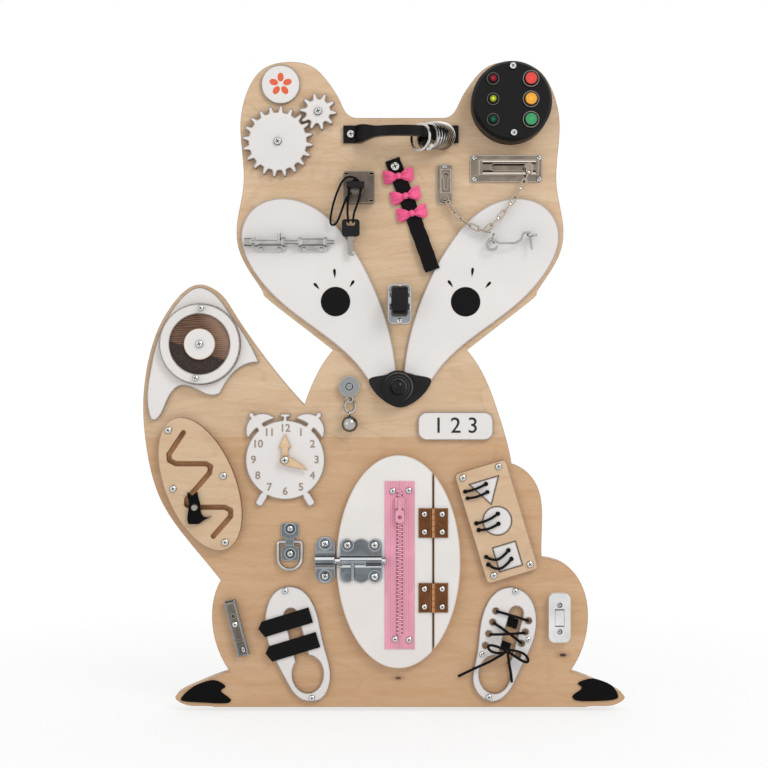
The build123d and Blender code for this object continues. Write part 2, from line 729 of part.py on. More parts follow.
def bow_strap():
    plane = strap_plane()
    back = [(s, strap_depth(s)) for s in (0, 72, 88, STRAP_LONG)]
    front = [(s, d + STRAP_THICK) for s, d in reversed(back)]
    side = make_face(Polyline(*back, *front, close=True))
    strap = extrude(plane * side, amount=STRAP_WIDE / 2, both=True)
    strap -= disc(STRAP_SCREW, PIVOT_BORE, FRONT, STRAP_THICK + 2)
    pieces = [strap]
    depth = strap_depth(0) + STRAP_THICK
    knot, end = 2.6, BOW_TALL / 2
    tie = make_face(Polyline(
        (-BOW_WIDE / 2, -end), (-2.5, -knot), (2.5, -knot), (BOW_WIDE / 2, -end),
        (BOW_WIDE / 2, end), (2.5, knot), (-2.5, knot), (-BOW_WIDE / 2, end), close=True,
    ))
    for k, place in enumerate(BOW_PLACES):
        x, z = turned(0, STRAP_ABOVE - place, STRAP_TILT, STRAP_SCREW)
        pieces.append(slab(Pos(x, z) * Rot(0, 0, (8, 14, 11)[k]) * tie, depth, BOW_THICK))
    return pieces


# ---------------------------------------------------------------- door chain

TRACK_FRONT = FRONT + SHEET + TRACK_BOX_DEEP
LUG_THICK = 1.6
LUG_DEPTH = TRACK_FRONT + LINK_WIDE / 2 - LUG_THICK / 2 + RUN
LUG_DROP = 4.0
SLIDER = (SLIDER_X, TRACK[1] + 0.3)


def stamped_box(place, size, depth, tall, sheet):
    """A raised housing, open at its back."""
    shell = bar(place, size, depth, tall)
    return shell - bar(place, (size[0] - 2 * sheet, size[1] - 2 * sheet), depth, tall - sheet)


def keyhole():
    """A round hole for the slider's foot, with a narrow slot below it."""
    x, z = CHANNEL
    return Pos(x, z + 5) * Circle(3.0) + Pos(x, z - 1) * SlotOverall(15, 3.2, rotation=90)


def chain_plates():
    base = slab(Pos(*TRACK) * RectangleRounded(TRACK_WIDE, TRACK_TALL, 2.5), FRONT, SHEET)
    middle = (TRACK[0] + TRACK_BOX_ASIDE, SLIDER[1])
    box = stamped_box(middle, (TRACK_BOX_WIDE, TRACK_BOX_TALL), FRONT + SHEET, TRACK_BOX_DEEP, SHEET)
    slot_end = SLIDER_X + SLIDER_NECK / 2 + 2 * RUN
    slot_start = SLIDER_X - SLIDER_TRAVEL - SLIDER_NECK / 2 - 2 * RUN
    slot = Pos((slot_start + slot_end) / 2, SLIDER[1]) * SlotOverall(slot_end - slot_start, TRACK_SLOT_TALL)
    box -= slab(slot, TRACK_FRONT - SHEET, SHEET)
    keeper = slab(Pos(*KEEPER) * RectangleRounded(KEEPER_WIDE, KEEPER_TALL, 2.5), FRONT, SHEET)
    channel = stamped_box(CHANNEL, (CHANNEL_WIDE, CHANNEL_TALL), FRONT + SHEET, CHANNEL_DEEP, SHEET)
    channel -= slab(keyhole(), FRONT + SHEET + CHANNEL_DEEP - SHEET, SHEET)
    pin = disc(CHAIN_PIVOT, 3.0, FRONT + SHEET, 5.6) + pan_head(CHAIN_PIVOT, FRONT + SHEET + 5.6, 6.4, 1.6)
    return [base + box, keeper + channel, pin]


def chain_slider():
    back = TRACK_FRONT - SHEET - RUN
    inside = disc(SLIDER, SLIDER_FOOT, back - 1.6, 1.6)
    neck = disc(SLIDER, SLIDER_NECK, back, LUG_DEPTH - back)
    lug = Pos(*SLIDER) * Circle(SLIDER_HEAD / 2) + Pos(SLIDER[0], SLIDER[1] - LUG_DROP) * Circle(3.4)
    lug -= Pos(SLIDER[0], SLIDER[1] - LUG_DROP) * Circle(LINK_WIRE / 2 + 0.6)
    return inside + neck + slab(lug, LUG_DEPTH, LUG_THICK)


def link(length):
    """One chain link, lying along its own X with its first end's wire at the origin."""
    outline = SlotOverall(length, LINK_WIDE) - SlotOverall(length - 2 * LINK_WIRE, LINK_WIDE - 2 * LINK_WIRE)
    return Pos(length / 2 - LINK_WIRE / 2, 0, 0) * extrude(outline, amount=LINK_WIRE / 2, both=True)


def chain_run(start, end, count, depth0, depth1, sag):
    """Links along an arc that hangs between two places, each turned a quarter from the last."""
    here, there = Vector(*out(start, depth0)), Vector(*out(end, depth1))
    whole = there - here
    below = Vector(whole.Z, 0, -whole.X).normalized() * (sag * whole.length)
    if below.Z > 0:
        below = below * -1
    spread = 4 * atan2(2 * sag, 1)                     # the whole turn of the arc, in radians
    radius = whole.length / 2 / sin(spread / 2)
    points = []
    for k in range(count + 1):
        turn = spread * (k / count - 0.5)
        along = 0.5 + radius * sin(turn) / whole.length
        drop = (radius * cos(turn) - radius * cos(spread / 2)) / (sag * whole.length)
        points.append(here + whole * along + below * drop)
    links = []
    for k in range(count):
        step = points[k + 1] - points[k]
        upright = Vector(0, -1, 0).cross(step)
        normal = upright if k % 2 == 0 else step.cross(upright)
        plane = Plane(origin=points[k], x_dir=step, z_dir=normal)
        links.append(plane * link(step.length + 2 * LINK_WIRE + LINK_PLAY))
    return links


def chain_right():
    start = (SLIDER[0], SLIDER[1] - LUG_DROP)
    end = (CHAIN_LOW[0] + CHAIN_MEET[0], CHAIN_LOW[1] + CHAIN_MEET[1])
    depth = LUG_DEPTH + LUG_THICK / 2
    return chain_run(start, end, CHAIN_RIGHT_LINKS, depth, depth, CHAIN_RIGHT_SAG)


def chain_left():
    """An eyelet on the keeper's screw and the links that hang from it."""
    depth = FRONT + SHEET + 3.2
    eyelet = disc(CHAIN_PIVOT, 8.0, depth, 1.4) - disc(CHAIN_PIVOT, 3.0 + 2 * RUN, depth, 1.4)
    dx, dz = CHAIN_LOW[0] - CHAIN_PIVOT[0], CHAIN_LOW[1] - CHAIN_PIVOT[1]
    lean = atan2(dz, dx) - 1.6 * CHAIN_LEFT_SAG
    ear = (CHAIN_PIVOT[0] + 5.6 * cos(lean), CHAIN_PIVOT[1] + 5.6 * sin(lean))
    eyelet += disc(ear, 5.4, depth, 1.4) - disc(CHAIN_PIVOT, 3.0 + 2 * RUN, depth, 1.4)
    eyelet -= disc(ear, 2.6, depth, 1.4)
    end_depth = LUG_DEPTH + LUG_THICK / 2
    return [eyelet] + chain_run(ear, CHAIN_LOW, CHAIN_LEFT_LINKS, depth + 0.7, end_depth, CHAIN_LEFT_SAG)


# ---------------------------------------------------------------- slide bolt

BOLT_DEPTH = PLATE_FRONT + BOLT_RISE


def bolt_case(left, right, slot):
    """A folded case: base flange below, a round tunnel for the rod and a collar at each end."""
    wide = right - left
    z = BOLT_AXIS[1]
    case = bar(((left + right) / 2, z - 2.0), (wide, BOLT_CASE_TALL), PLATE_FRONT, SHEET)
    bore = BOLT_ROD_DIA / 2 + RUN
    collars = [(left, BOLT_COLLAR, 2.4), (right - BOLT_COLLAR, BOLT_COLLAR, 2.4)]
    for start, long, wall in [(left, wide, 1.2)] + collars:
        outer = bore + wall
        foot = BOLT_DEPTH - PLATE_FRONT
        profile = Pos(BOLT_DEPTH, z) * Circle(outer) + Pos(PLATE_FRONT + foot / 2, z) * Rectangle(foot, 2 * outer)
        case += along_x(profile, start, long)
    case -= rod_x(left, right, BOLT_DEPTH, z, 2 * bore)
    if slot:
        case -= bar(((slot[0] + slot[1]) / 2, z + 4.0), (slot[1] - slot[0], 8.0), BOLT_DEPTH - 1.9, 8)
    return case


def bolt_cases():
    handle = BOLT_CASES[0][1] - 5.5
    slot = (handle - BOLT_TRAVEL - 2.4, handle + 2.4)
    return [bolt_case(*BOLT_CASES[0], slot), bolt_case(*BOLT_CASES[1], None)]


def bolt_rod():
    z = BOLT_AXIS[1]
    rod = rod_x(BOLT_ROD_LEFT, BOLT_ROD_RIGHT, BOLT_DEPTH, z, BOLT_ROD_DIA)
    knob = rod_x(BOLT_ROD_LEFT - 3, BOLT_ROD_LEFT + 4, BOLT_DEPTH, z, 8.0)
    handle_x = BOLT_CASES[0][1] - 5.5
    stem = rod_z(z, z + 9, handle_x, BOLT_DEPTH, 3.0)
    return rod + knob + stem


# ---------------------------------------------------------------- cabin hook

HOOK_DEPTH = PLATE_FRONT + 8.0


def round_eye(place, level):
    """A screw eye: a ring of wire on a stem that stands on the plate, upright or level."""
    ring = Circle(EYE_RING_DIA / 2) - Circle(EYE_RING_DIA / 2 - HOOK_WIRE)
    ring = extrude(ring, amount=HOOK_WIRE / 2, both=True)
    ring = Pos(*out(place, HOOK_DEPTH)) * (ring if level else Rot(0, 90, 0) * ring)
    return ring + disc(place, HOOK_WIRE + 0.6, PLATE_FRONT, HOOK_DEPTH - PLATE_FRONT - EYE_RING_DIA / 2 + 0.6)


def screw_eyes():
    return [round_eye(HOOK_EYE, False), round_eye(CATCH_EYE, True)]


def cabin_hook():
    """Bent wire: an eye that links the first screw eye, a shank, and a tip bent down past the second."""
    x, z = HOOK_EYE
    cx, cz = x - 1.3, z - 5.9
    top = CATCH_EYE[1] + 2.6
    tip_x = CATCH_EYE[0] - 1.4
    flat = [
        (cx + 5.4, cz - 1.6), (cx + 3.0, cz - 5.0), (cx - 3.0, cz - 5.2), (cx - 5.9, cz), (cx - 2.8, cz + 5.4),
        (cx + 2.6, cz + 4.4), (x + 5.5, z - 4.6), (x + 21, z - 4.6), (x + 27.0, z - 1.6), (x + 30.0, top),
        (tip_x, top), (tip_x + 1.4, top - 16.8),
    ]
    radii = [2.2, 2.6, 2.6, 2.6, 2.2, 3.0, 6.0, 4.0, 1.6, 1.6]
    return wire([(px, -HOOK_DEPTH, pz) for px, pz in flat], radii, HOOK_WIRE)


# ---------------------------------------------------------------- caster

WHEEL_DEPTH = FRONT + SHEET + WHEEL_DIA / 2 + 2.0


def caster_fork():
    plate = slab(Pos(*CASTER) * RectangleRounded(CASTER_WIDE, CASTER_TALL, CASTER_CORNER), FRONT, SHEET)
    cheek_x = WHEEL_WIDE / 2 + RUN
    wheel_z = CASTER[1] + 2.5
    side = Pos(wheel_z, 0) * Circle(4.5)
    fork = plate
    for sign in (-1, 1):
        plane = Plane(origin=(CASTER[0] + sign * cheek_x, 0, 0), x_dir=(0, 0, 1), z_dir=(sign, 0, 0))
        y0 = sign * (FRONT + SHEET)
        y1 = sign * WHEEL_DEPTH
        foot, tip = 9, 4.5
        corners = ((wheel_z - foot, y0), (wheel_z + foot, y0), (wheel_z + tip, y1), (wheel_z - tip, y1))
        cheek = make_face(Polyline(*corners, close=True))
        cheek += Pos(0, y1) * side
        fork += extrude(plane * cheek, amount=SHEET)
    axle = rod_x(CASTER[0] - cheek_x - SHEET, CASTER[0] + cheek_x + SHEET, WHEEL_DEPTH, wheel_z, AXLE_DIA)
    return fork + axle


def caster_wheel():
    z = CASTER[1] + 2.5
    half = WHEEL_WIDE / 2
    wheel = rod_x(CASTER[0] - half, CASTER[0] + half, WHEEL_DEPTH, z, WHEEL_DIA)
    wheel = chamfer(wheel.edges().filter_by(GeomType.CIRCLE), 1.5)
    return wheel - rod_x(CASTER[0] - half, CASTER[0] + half, WHEEL_DEPTH, z, AXLE_DIA + 2 * FIT)


# ---------------------------------------------------------------- bell on the nose, jingle bell


def bell_body():
    base = disc(BELL, BELL_BASE_DIA, PLATE_FRONT, BELL_DEEP)
    rim = disc(BELL, BELL_DOME_DIA + 4, PLATE_FRONT + BELL_DEEP, 3.0)
    profile = area(
        Polyline((BELL_KNOB_DIA / 2, 0), (0, 0), (0, 8.5)),
        ThreePointArc((0, 8.5), (6.0, 6.0), (BELL_KNOB_DIA / 2, 0)),
    )
    plane = Plane(origin=out(BELL, PLATE_FRONT + BELL_DEEP + 3.0), x_dir=(1, 0, 0), z_dir=(0, 0, 1))
    dome = revolve(plane * Rot(0, 0, 180) * profile, axis=Axis(out(BELL, 0), (0, 1, 0)))
    case = base + rim
    case -= slab(lever_slot(), PLATE_FRONT + 3.0 - RUN, 3.6 + 2 * RUN)
    return case + dome


def lever_slot():
    return Pos(BELL[0] + BELL_BASE_DIA / 2, BELL[1]) * Rectangle(20, 20)


def bell_lever():
    """Thumb lever that turns on its pin at the side of the bell."""
    hub = (BELL[0] + 11.0, BELL[1])
    arm = Pos(BELL[0] + 18.5, BELL[1] + 1.0) * RectangleRounded(16.0, 7.6, 2.0) + Pos(*hub) * Circle(4.2)
    return slab(arm, PLATE_FRONT + 3.0, 3.6)


HANGER_STAND = 4.6           # the disc stands off the board on a bush
HANGER_DEPTH = FRONT + HANGER_STAND + SHEET / 2
JINGLE_HOLE = (HANGER[0] + 0.5, HANGER[1] - 12.4)
JINGLE_WIRE = 1.4
JINGLE_TURN = 38.0


def jingle_hanger():
    plate = Pos(*HANGER) * Circle(HANGER_DIA / 2) + Pos(*JINGLE_HOLE) * Circle(4.0)
    plate -= Pos(*JINGLE_HOLE) * Circle(2.6)
    seat = FRONT + HANGER_STAND
    return slab(plate, seat, SHEET) + disc(HANGER, 8.0, FRONT, HANGER_STAND) + pan_head(HANGER, seat + SHEET)


def jingle_bell():
    """A split ring through the hanger's eye, with a round bell on it."""
    x, z = JINGLE_HOLE
    radius = JINGLE_RING_DIA / 2
    ring = Circle(radius) - Circle(radius - JINGLE_WIRE)
    ring = Rot(0, 0, JINGLE_TURN) * Rot(90, 0, 0) * extrude(ring, amount=JINGLE_WIRE / 2, both=True)
    ring_z = z - 1.2 - radius + JINGLE_WIRE
    eye_z = ring_z - radius - 0.2
    ball_z = eye_z - 2.4 - JINGLE_DIA / 2
    ball_depth = HANGER_DEPTH + JINGLE_DIA / 2 - 4.0
    ball = Pos(x, -ball_depth, ball_z) * Sphere(JINGLE_DIA / 2)
    eye = Circle(3.0) - Circle(1.5)
    eye = Pos(x, -HANGER_DEPTH, eye_z) * Rot(0, 90, 0) * extrude(eye, amount=0.6, both=True)
    stem = rod_z(ball_z, eye_z - 2.0, x, HANGER_DEPTH, 2.0)
    return [Pos(x, -HANGER_DEPTH, ring_z) * ring, ball + stem + eye]


# ---------------------------------------------------------------- maze

MAZE_ROUTE = (
    (-215.5, 274.6), (-230.0, 253.0), (-229.5, 247.0), (-223.0, 243.7), (-193.0, 243.7), (-188.5, 241.0),
    (-189.5, 234.5), (-212.0, 208.5), (-212.5, 203.0), (-208.0, 200.4), (-174.5, 200.4), (-168.5, 197.5),
    (-168.5, 191.5), (-185.8, 171.6),
)


def groove(width):
    """A run of round-ended slots from one point of the route to the next."""
    line = Sketch()
    for (x0, z0), (x1, z1) in zip(MAZE_ROUTE, MAZE_ROUTE[1:]):
        slot = SlotCenterToCenter(hypot(x1 - x0, z1 - z0), width)
        line += Pos((x0 + x1) / 2, (z0 + z1) / 2) * Rot(0, 0, degrees(atan2(z1 - z0, x1 - x0))) * slot
    return line


def maze_plate():
    outline = Pos(*MAZE) * Rot(0, 0, MAZE_TILT) * Ellipse(MAZE_WIDE / 2, MAZE_LONG / 2)
    plate = slab(outline, FRONT, MAZE_THICK)
    plate -= slab(groove(GROOVE_UNDERCUT), FRONT, GROOVE_UNDERCUT_DEEP)
    return plate - slab(groove(GROOVE), FRONT + GROOVE_UNDERCUT_DEEP, MAZE_THICK - GROOVE_UNDERCUT_DEEP)


def maze_cat():
    """A cat's outline on a stud whose foot runs in the groove's undercut."""
    x, z = CAT_SCREW
    foot = disc(CAT_SCREW, GROOVE_UNDERCUT - 4 * RUN, FRONT + RUN, GROOVE_UNDERCUT_DEEP - 2 * RUN)
    stud = disc(CAT_SCREW, GROOVE - 2 * RUN, FRONT + RUN, MAZE_THICK)
    body_line = Spline((x - 6.0, z - 16.4), (x - 7.0, z - 8), (x - 5.6, z), (x - 6.4, z + 8))
    ears = Polyline((x - 6.4, z + 8), (x - 7.2, z + 15.2), (x - 2.4, z + 11.6), (x + 2.4, z + 15.6), (x + 4, z + 8))
    back = Spline((x + 4, z + 8), (x + 5.5, z), (x + 7, z - 7), (x + 17, z - 8.5))
    tail_low = Spline((x + 17, z - 8.5), (x + 9, z - 13), (x + 4, z - 16.4))
    figure = area(body_line, ears, back, tail_low, Line((x + 4, z - 16.4), (x - 6.0, z - 16.4)))
    cat = slab(figure, FRONT + MAZE_THICK + RUN, CAT_THICK)
    return foot + stud + cat + pan_head(CAT_SCREW, FRONT + MAZE_THICK + RUN + CAT_THICK)


# ---------------------------------------------------------------- clock

HOUR_DEPTH = PLATE_FRONT + RUN
MINUTE_DEPTH = HOUR_DEPTH + HAND_THICK + RUN


def clock_face():
    outline = Circle(CLOCK_DIA / 2)
    bell_line = Pos(0, CLOCK_BELL_OUT) * Circle(CLOCK_BELL_RADIUS) - Circle(CLOCK_DIA / 2 + CLOCK_SLOT)
    bell_line += Pos(0, CLOCK_DIA / 2 + 1) * Rectangle(7, 8)
    bell_line += Pos(0, CLOCK_BELL_OUT + CLOCK_BELL_RADIUS + 2) * Circle(2.9)
    foot_line = Pos(0, -46) * RectangleRounded(8, 14, 3)
    for sign in (-1, 1):
        outline += Rot(0, 0, 37 * sign) * bell_line + Rot(0, 0, 31 * sign) * foot_line
    outline += Pos(0, 41.5) * Rectangle(3.5, 5) + Pos(0, 44.5) * Rectangle(10, 3.2)
    plate = slab(Pos(*CLOCK) * outline, FRONT, PLY)
    return plate - disc(CLOCK, SHAFT, FRONT, PLY)


def hour_hand():
    shaft = Polyline((-3.4, 0), (-3.4, 12.5), (-6.3, 12.5), (0, 26), (6.3, 12.5), (3.4, 12.5), (3.4, 0), close=True)
    outline = make_face(shaft) + Circle(5) - Circle(PIVOT_BORE / 2)
    return slab(Pos(*CLOCK) * outline, HOUR_DEPTH, HAND_THICK)


def minute_hand():
    upper, lower = Spline((2, 4.6), (12, 4.2), (25, 0.3)), Spline((25, 0.3), (12, -2.6), (2, -4.6))
    leaf = area(upper, lower, Line((2, -4.6), (2, 4.6)))
    outline = Rot(0, 0, -25) * leaf + Circle(5) - Circle(PIVOT_BORE / 2)
    return slab(Pos(*CLOCK) * outline, MINUTE_DEPTH, HAND_THICK)


# ---------------------------------------------------------------- D ring, latch keeper, lever strip

D_BRIDGE_Z = D_PLATE[1] + 0.5
D_TUBE_DEPTH = FRONT + SHEET + D_WIRE / 2 + RUN


def d_bridge():
    """Two plates joined by a neck, with an arch over the neck that holds the ring."""
    x, z = D_PLATE
    tall = (D_PLATE_TALL - D_NECK_WIDE) / 2
    outline = Pos(x, D_BRIDGE_Z) * Rectangle(D_NECK_WIDE, D_PLATE_TALL / 2)
    for side in (-1, 1):
        place = Pos(x, z + side * (D_PLATE_TALL - tall) / 2)
        outline += place * RectangleRounded(D_PLATE_WIDE, tall, D_CORNER)
    bore = D_WIRE + 2 * RUN
    arch = bar((x, D_BRIDGE_Z), (D_NECK_WIDE, bore + 2 * SHEET), FRONT + SHEET, bore + SHEET)
    arch -= bar((x, D_BRIDGE_Z), (D_NECK_WIDE, bore), FRONT + SHEET, bore)
    return slab(outline, FRONT, SHEET) + arch


def d_ring():
    """A wire D with its straight side under the bridge and a round bottom."""
    half = (D_RING_WIDE - D_WIRE) / 2
    low = D_BRIDGE_Z - D_RING_TALL + D_WIRE
    x = D_PLATE[0]
    points = [(x + 4, D_BRIDGE_Z), (x + half, D_BRIDGE_Z), (x + half, low), (x - half, low),
              (x - half, D_BRIDGE_Z), (x + 3.2, D_BRIDGE_Z)]
    route = [(px, -D_TUBE_DEPTH, pz) for px, pz in points]
    return wire(route, [2.6, half - 0.3, half - 0.3, 2.6], D_WIRE, 8)


def strip_place(dx, dz):
    return turned(dx, dz, STRIP_TILT, STRIP)


def lever_strip():
    """A channel with its two edges turned up, and the pin that carries the lever."""
    channel = bar(STRIP, (STRIP_WIDE, STRIP_LONG), FRONT, STRIP_DEEP, STRIP_TILT)
    channel -= bar(STRIP, (STRIP_WIDE - 2 * SHEET, STRIP_LONG + 2), FRONT + SHEET, STRIP_DEEP, STRIP_TILT)
    pin = Pos(*out(strip_place(0, -13.5), FRONT + STRIP_DEEP - 2.4)) * Rot(0, -STRIP_TILT, 0)
    return channel + pin * Rot(0, 90, 0) * Cylinder(1.0, STRIP_WIDE - 2 * SHEET)


def strip_lever():
    """The lever in the channel, which turns out on the pin."""
    wide = STRIP_WIDE - 2 * SHEET - 2 * RUN
    back = FRONT + SHEET + RUN
    arm = bar(strip_place(0, 6.5), (wide, 40.0), back + 2.0, 1.4, STRIP_TILT)
    arm -= disc(strip_place(0, 13.0), 3.6, back, 5)
    hook = bar(strip_place(0, 26.5), (wide, 1.6), back + 2.0, 5.0, STRIP_TILT)
    hub = Pos(*out(strip_place(0, -13.5), FRONT + STRIP_DEEP - 2.4)) * Rot(0, -STRIP_TILT, 0) * Rot(0, 90, 0)
    barrel = hub * (Cylinder(1.9, wide))
    return arm + hook + barrel - hub * Cylinder(1.0 + FIT, wide + 1)


LATCH_DEPTH = FRONT + RUN + DOOR_THICK + LATCH_RISE


def boss(place, depth):
    """The raised round that a screw of the latch sits on."""
    return disc(place, BOSS_DIA, depth, BOSS_TALL, taper=30)


def latch_keeper():
    """A plate with round ends, two ribs and bosses, and a square sleeve that takes the bolt."""
    x, z = LATCH_KEEPER_X, LATCH_AXIS_Z
    plate = slab(Pos(x, z) * RectangleRounded(LATCH_KEEPER_WIDE, LATCH_KEEPER_TALL, 9.0), FRONT, SHEET)
    bore = LATCH_ROD_DIA / 2 + RUN
    outer = bore + SHEET
    for side in (-1, 1):
        plate += bar((x, z + side * (outer + 2.6)), (LATCH_KEEPER_WIDE, SHEET), FRONT + SHEET, SHEET)
        plate += boss((x, z + side * KEEPER_BOSS), FRONT + SHEET)
    seat = FRONT + SHEET
    tall = LATCH_DEPTH + outer - seat
    bridge = Pos(seat + tall / 2, z) * Rectangle(tall, 2 * outer)
    bridge = fillet(bridge.vertices().group_by(Axis.X)[-1], KEEPER_ROUND)
    plate += along_x(bridge, x - LATCH_KEEPER_WIDE / 2, LATCH_KEEPER_WIDE)
    return plate - bar((x, z), (LATCH_KEEPER_WIDE, 2 * bore), seat, LATCH_DEPTH + bore - seat)


def surface_plates():
    return [d_bridge(), latch_keeper(), lever_strip(), jingle_hanger()]


# ---------------------------------------------------------------- belly door

DOOR_BACK = FRONT + RUN
DOOR_FRONT = DOOR_BACK + DOOR_THICK
HINGE_DEPTH = DOOR_FRONT + KNUCKLE_DIA / 2 - 0.2
KEEPER_EDGE = LATCH_KEEPER_X + LATCH_KEEPER_WIDE / 2


def door_outline(left_part):
    """The oval, cut straight down at the hinge line."""
    oval = Pos(*DOOR_CENTRE) * Ellipse(DOOR_HALF_WIDE, DOOR_HALF_TALL)
    wide = 2 * DOOR_HALF_WIDE
    edge = DOOR_SPLIT - DOOR_GAP / 2 if left_part else DOOR_SPLIT + DOOR_GAP / 2
    middle = edge - wide if left_part else edge + wide
    return oval & (Pos(middle, DOOR_CENTRE[1]) * Rectangle(2 * wide, 3 * DOOR_HALF_TALL))


def door_panel():
    return slab(door_outline(True), DOOR_BACK, DOOR_THICK)


def side_panel():
    return slab(door_outline(False), FRONT, DOOR_THICK + RUN)


def knuckle_span(z, k):
    tall = HINGE_TALL / KNUCKLES
    low = z - HINGE_TALL / 2 + tall * k
    return low + RUN / 2, low + tall - RUN / 2


def hinge_leaf(z, side):
    """One leaf on the face of a panel, with every other knuckle; side is -1 for the door."""
    middle = DOOR_SPLIT + side * (HINGE_LEAF_WIDE / 2 + 0.7)
    leaf = bar((middle, z), (HINGE_LEAF_WIDE, HINGE_TALL), DOOR_FRONT, HINGE_SHEET)
    for k in range(KNUCKLES):
        if (k % 2 == 0) == (side > 0):
            low, high = knuckle_span(z, k)
            leaf += rod_z(low, high, DOOR_SPLIT, HINGE_DEPTH, KNUCKLE_DIA)
            web = bar((DOOR_SPLIT + side * 0.9, (low + high) / 2), (1.8, high - low), DOOR_FRONT, HINGE_SHEET)
            leaf += web
        else:
            low, high = knuckle_span(z, k)
            leaf -= rod_z(low - RUN, high + RUN, DOOR_SPLIT, HINGE_DEPTH, KNUCKLE_DIA + 2 * RUN)
    bore = PIN_DIA + (2 * FIT if side < 0 else 0)
    return leaf - rod_z(z - HINGE_TALL / 2, z + HINGE_TALL / 2, DOOR_SPLIT, HINGE_DEPTH, bore)


def fixed_hinge_leaves():
    pieces = [hinge_leaf(z, 1) for z in HINGE_HEIGHTS]
    half = HINGE_TALL / 2
    return pieces + [rod_z(z - half, z + half, DOOR_SPLIT, HINGE_DEPTH, PIN_DIA) for z in HINGE_HEIGHTS]


def door_hinge_leaves():
    return [hinge_leaf(z, -1) for z in HINGE_HEIGHTS]


def zip_tape():
    """Two tapes side by side, with the closed row of teeth raised between them."""
    middle = ZIP_TOP - ZIP_LONG / 2
    tape = bar((ZIP_X, middle), (ZIP_WIDE, ZIP_LONG), DOOR_FRONT, ZIP_THICK)
    teeth = bar((ZIP_X, middle + 2), (ZIP_TEETH_WIDE, ZIP_LONG - 24), DOOR_FRONT + ZIP_THICK, 1.6)
    return tape + teeth


def zip_slider():
    """A slider that stands over the teeth on its two flanges, with a puller."""
    inner = ZIP_TEETH_WIDE / 2 + RUN
    depth = DOOR_FRONT + ZIP_THICK + RUN
    body_line = bar((ZIP_X, ZIP_SLIDER_Z), (2 * inner + 3.0, 11.0), depth, 3.4)
    body_line -= bar((ZIP_X, ZIP_SLIDER_Z), (2 * inner, 11.0), depth, 1.6 + RUN)
    bridge = bar((ZIP_X, ZIP_SLIDER_Z + 1), (2.4, 7.0), depth + 3.4, 2.2)
    low = ZIP_SLIDER_Z - 6.5 - PULLER_TALL / 2
    pull = Pos(ZIP_X, low) * RectangleRounded(PULLER_WIDE, PULLER_TALL, 3.4)
    pull += Pos(ZIP_X, ZIP_SLIDER_Z - 4) * Rectangle(3.4, 12.0)
    pull -= Pos(ZIP_X, low - 1) * Circle(2.1)
    return body_line + bridge + slab(pull, depth + 3.4, 1.8)


# ---------------------------------------------------------------- door latch

LATCH_CASE_MIDDLE = (LATCH_CASE_LEFT + LATCH_CASE_WIDE / 2, LATCH_AXIS_Z)
LATCH_HANDLE_X = -47.0


def latch_case():
    """A scalloped plate with four bosses and a half-round tunnel, slotted for the handle."""
    half_w, half_h = LATCH_CASE_WIDE / 2, LATCH_CASE_TALL / 2
    x, z = LATCH_CASE_MIDDLE
    lobe, bump = 6.6, 9.0
    outline = Rectangle(2 * half_w, 2 * (half_h - lobe)) + Rectangle(2 * (half_w - lobe), 2 * (half_h - 3))
    for side in (-1, 1):
        outline += Pos(0, side * (half_h - bump)) * Circle(bump)
        for dx in (-1, 1):
            outline += Pos(dx * (half_w - lobe), side * (half_h - lobe)) * Circle(lobe)
    case = slab(Pos(x, z) * outline, DOOR_FRONT, SHEET)
    for dx in (-LATCH_BOSS[0], LATCH_BOSS[0]):
        for dz in (-LATCH_BOSS[1], LATCH_BOSS[1]):
            case += boss((x + dx, z + dz), DOOR_FRONT + SHEET)
    bore = LATCH_ROD_DIA / 2 + RUN
    outer = bore + SHEET
    left = LATCH_CASE_LEFT
    profile = Pos(LATCH_DEPTH, z) * Circle(outer) + Pos(LATCH_DEPTH - outer / 2, z) * Rectangle(outer, 2 * outer)
    profile &= Pos(DOOR_FRONT + 20, z) * Rectangle(40, 60)
    case += along_x(profile, left, LATCH_CASE_WIDE)
    case -= rod_x(left, left + LATCH_CASE_WIDE, LATCH_DEPTH, z, 2 * bore)
    slot_left = LATCH_HANDLE_X - LATCH_THROW - 2.6
    slot_right = LATCH_HANDLE_X + LATCH_BACK + 2.6
    return case - bar(((slot_left + slot_right) / 2, z - 6), (slot_right - slot_left, 12.0), LATCH_DEPTH - 2.2, 9)


def latch_bolt():
    tip = KEEPER_EDGE + 0.5
    end = LATCH_CASE_LEFT + LATCH_CASE_WIDE + 3.2
    rod = rod_x(tip, end, LATCH_DEPTH, LATCH_AXIS_Z, LATCH_ROD_DIA)
    handle = rod_z(LATCH_AXIS_Z - 17, LATCH_AXIS_Z, LATCH_HANDLE_X, LATCH_DEPTH, 4.0)
    return rod + handle


# ---------------------------------------------------------------- shapes board


def shapes_place(dx, dz):
    return turned(dx, dz, SHAPES_TILT, SHAPES)


TRIANGLE = (0.0, 33.5)
ROUND = (1.0, 0.5)
SQUARE = (0.5, -36.5)
SHAPE_GAP = 0.5


def shape_outline(kind):
    if kind == "triangle":
        return Pos(*TRIANGLE) * make_face(Polyline((-15, 9.5), (15, 9.5), (0, -15.5), close=True))
    if kind == "circle":
        return Pos(*ROUND) * Circle(14.2)
    return Pos(*SQUARE) * Rectangle(23.6, 24.6)


def shapes_plate():
    outline = RectangleRounded(SHAPES_WIDE, SHAPES_TALL, 4)
    for kind in ("triangle", "circle", "square"):
        outline -= offset(shape_outline(kind), amount=SHAPE_GAP, kind=Kind.INTERSECTION)
    return slab(Pos(*SHAPES) * Rot(0, 0, SHAPES_TILT) * outline, FRONT, SHAPES_THICK)


def shape(kind):
    outline = Pos(*SHAPES) * Rot(0, 0, SHAPES_TILT) * shape_outline(kind)
    return slab(outline, FRONT + RUN, SHAPES_THICK - RUN)


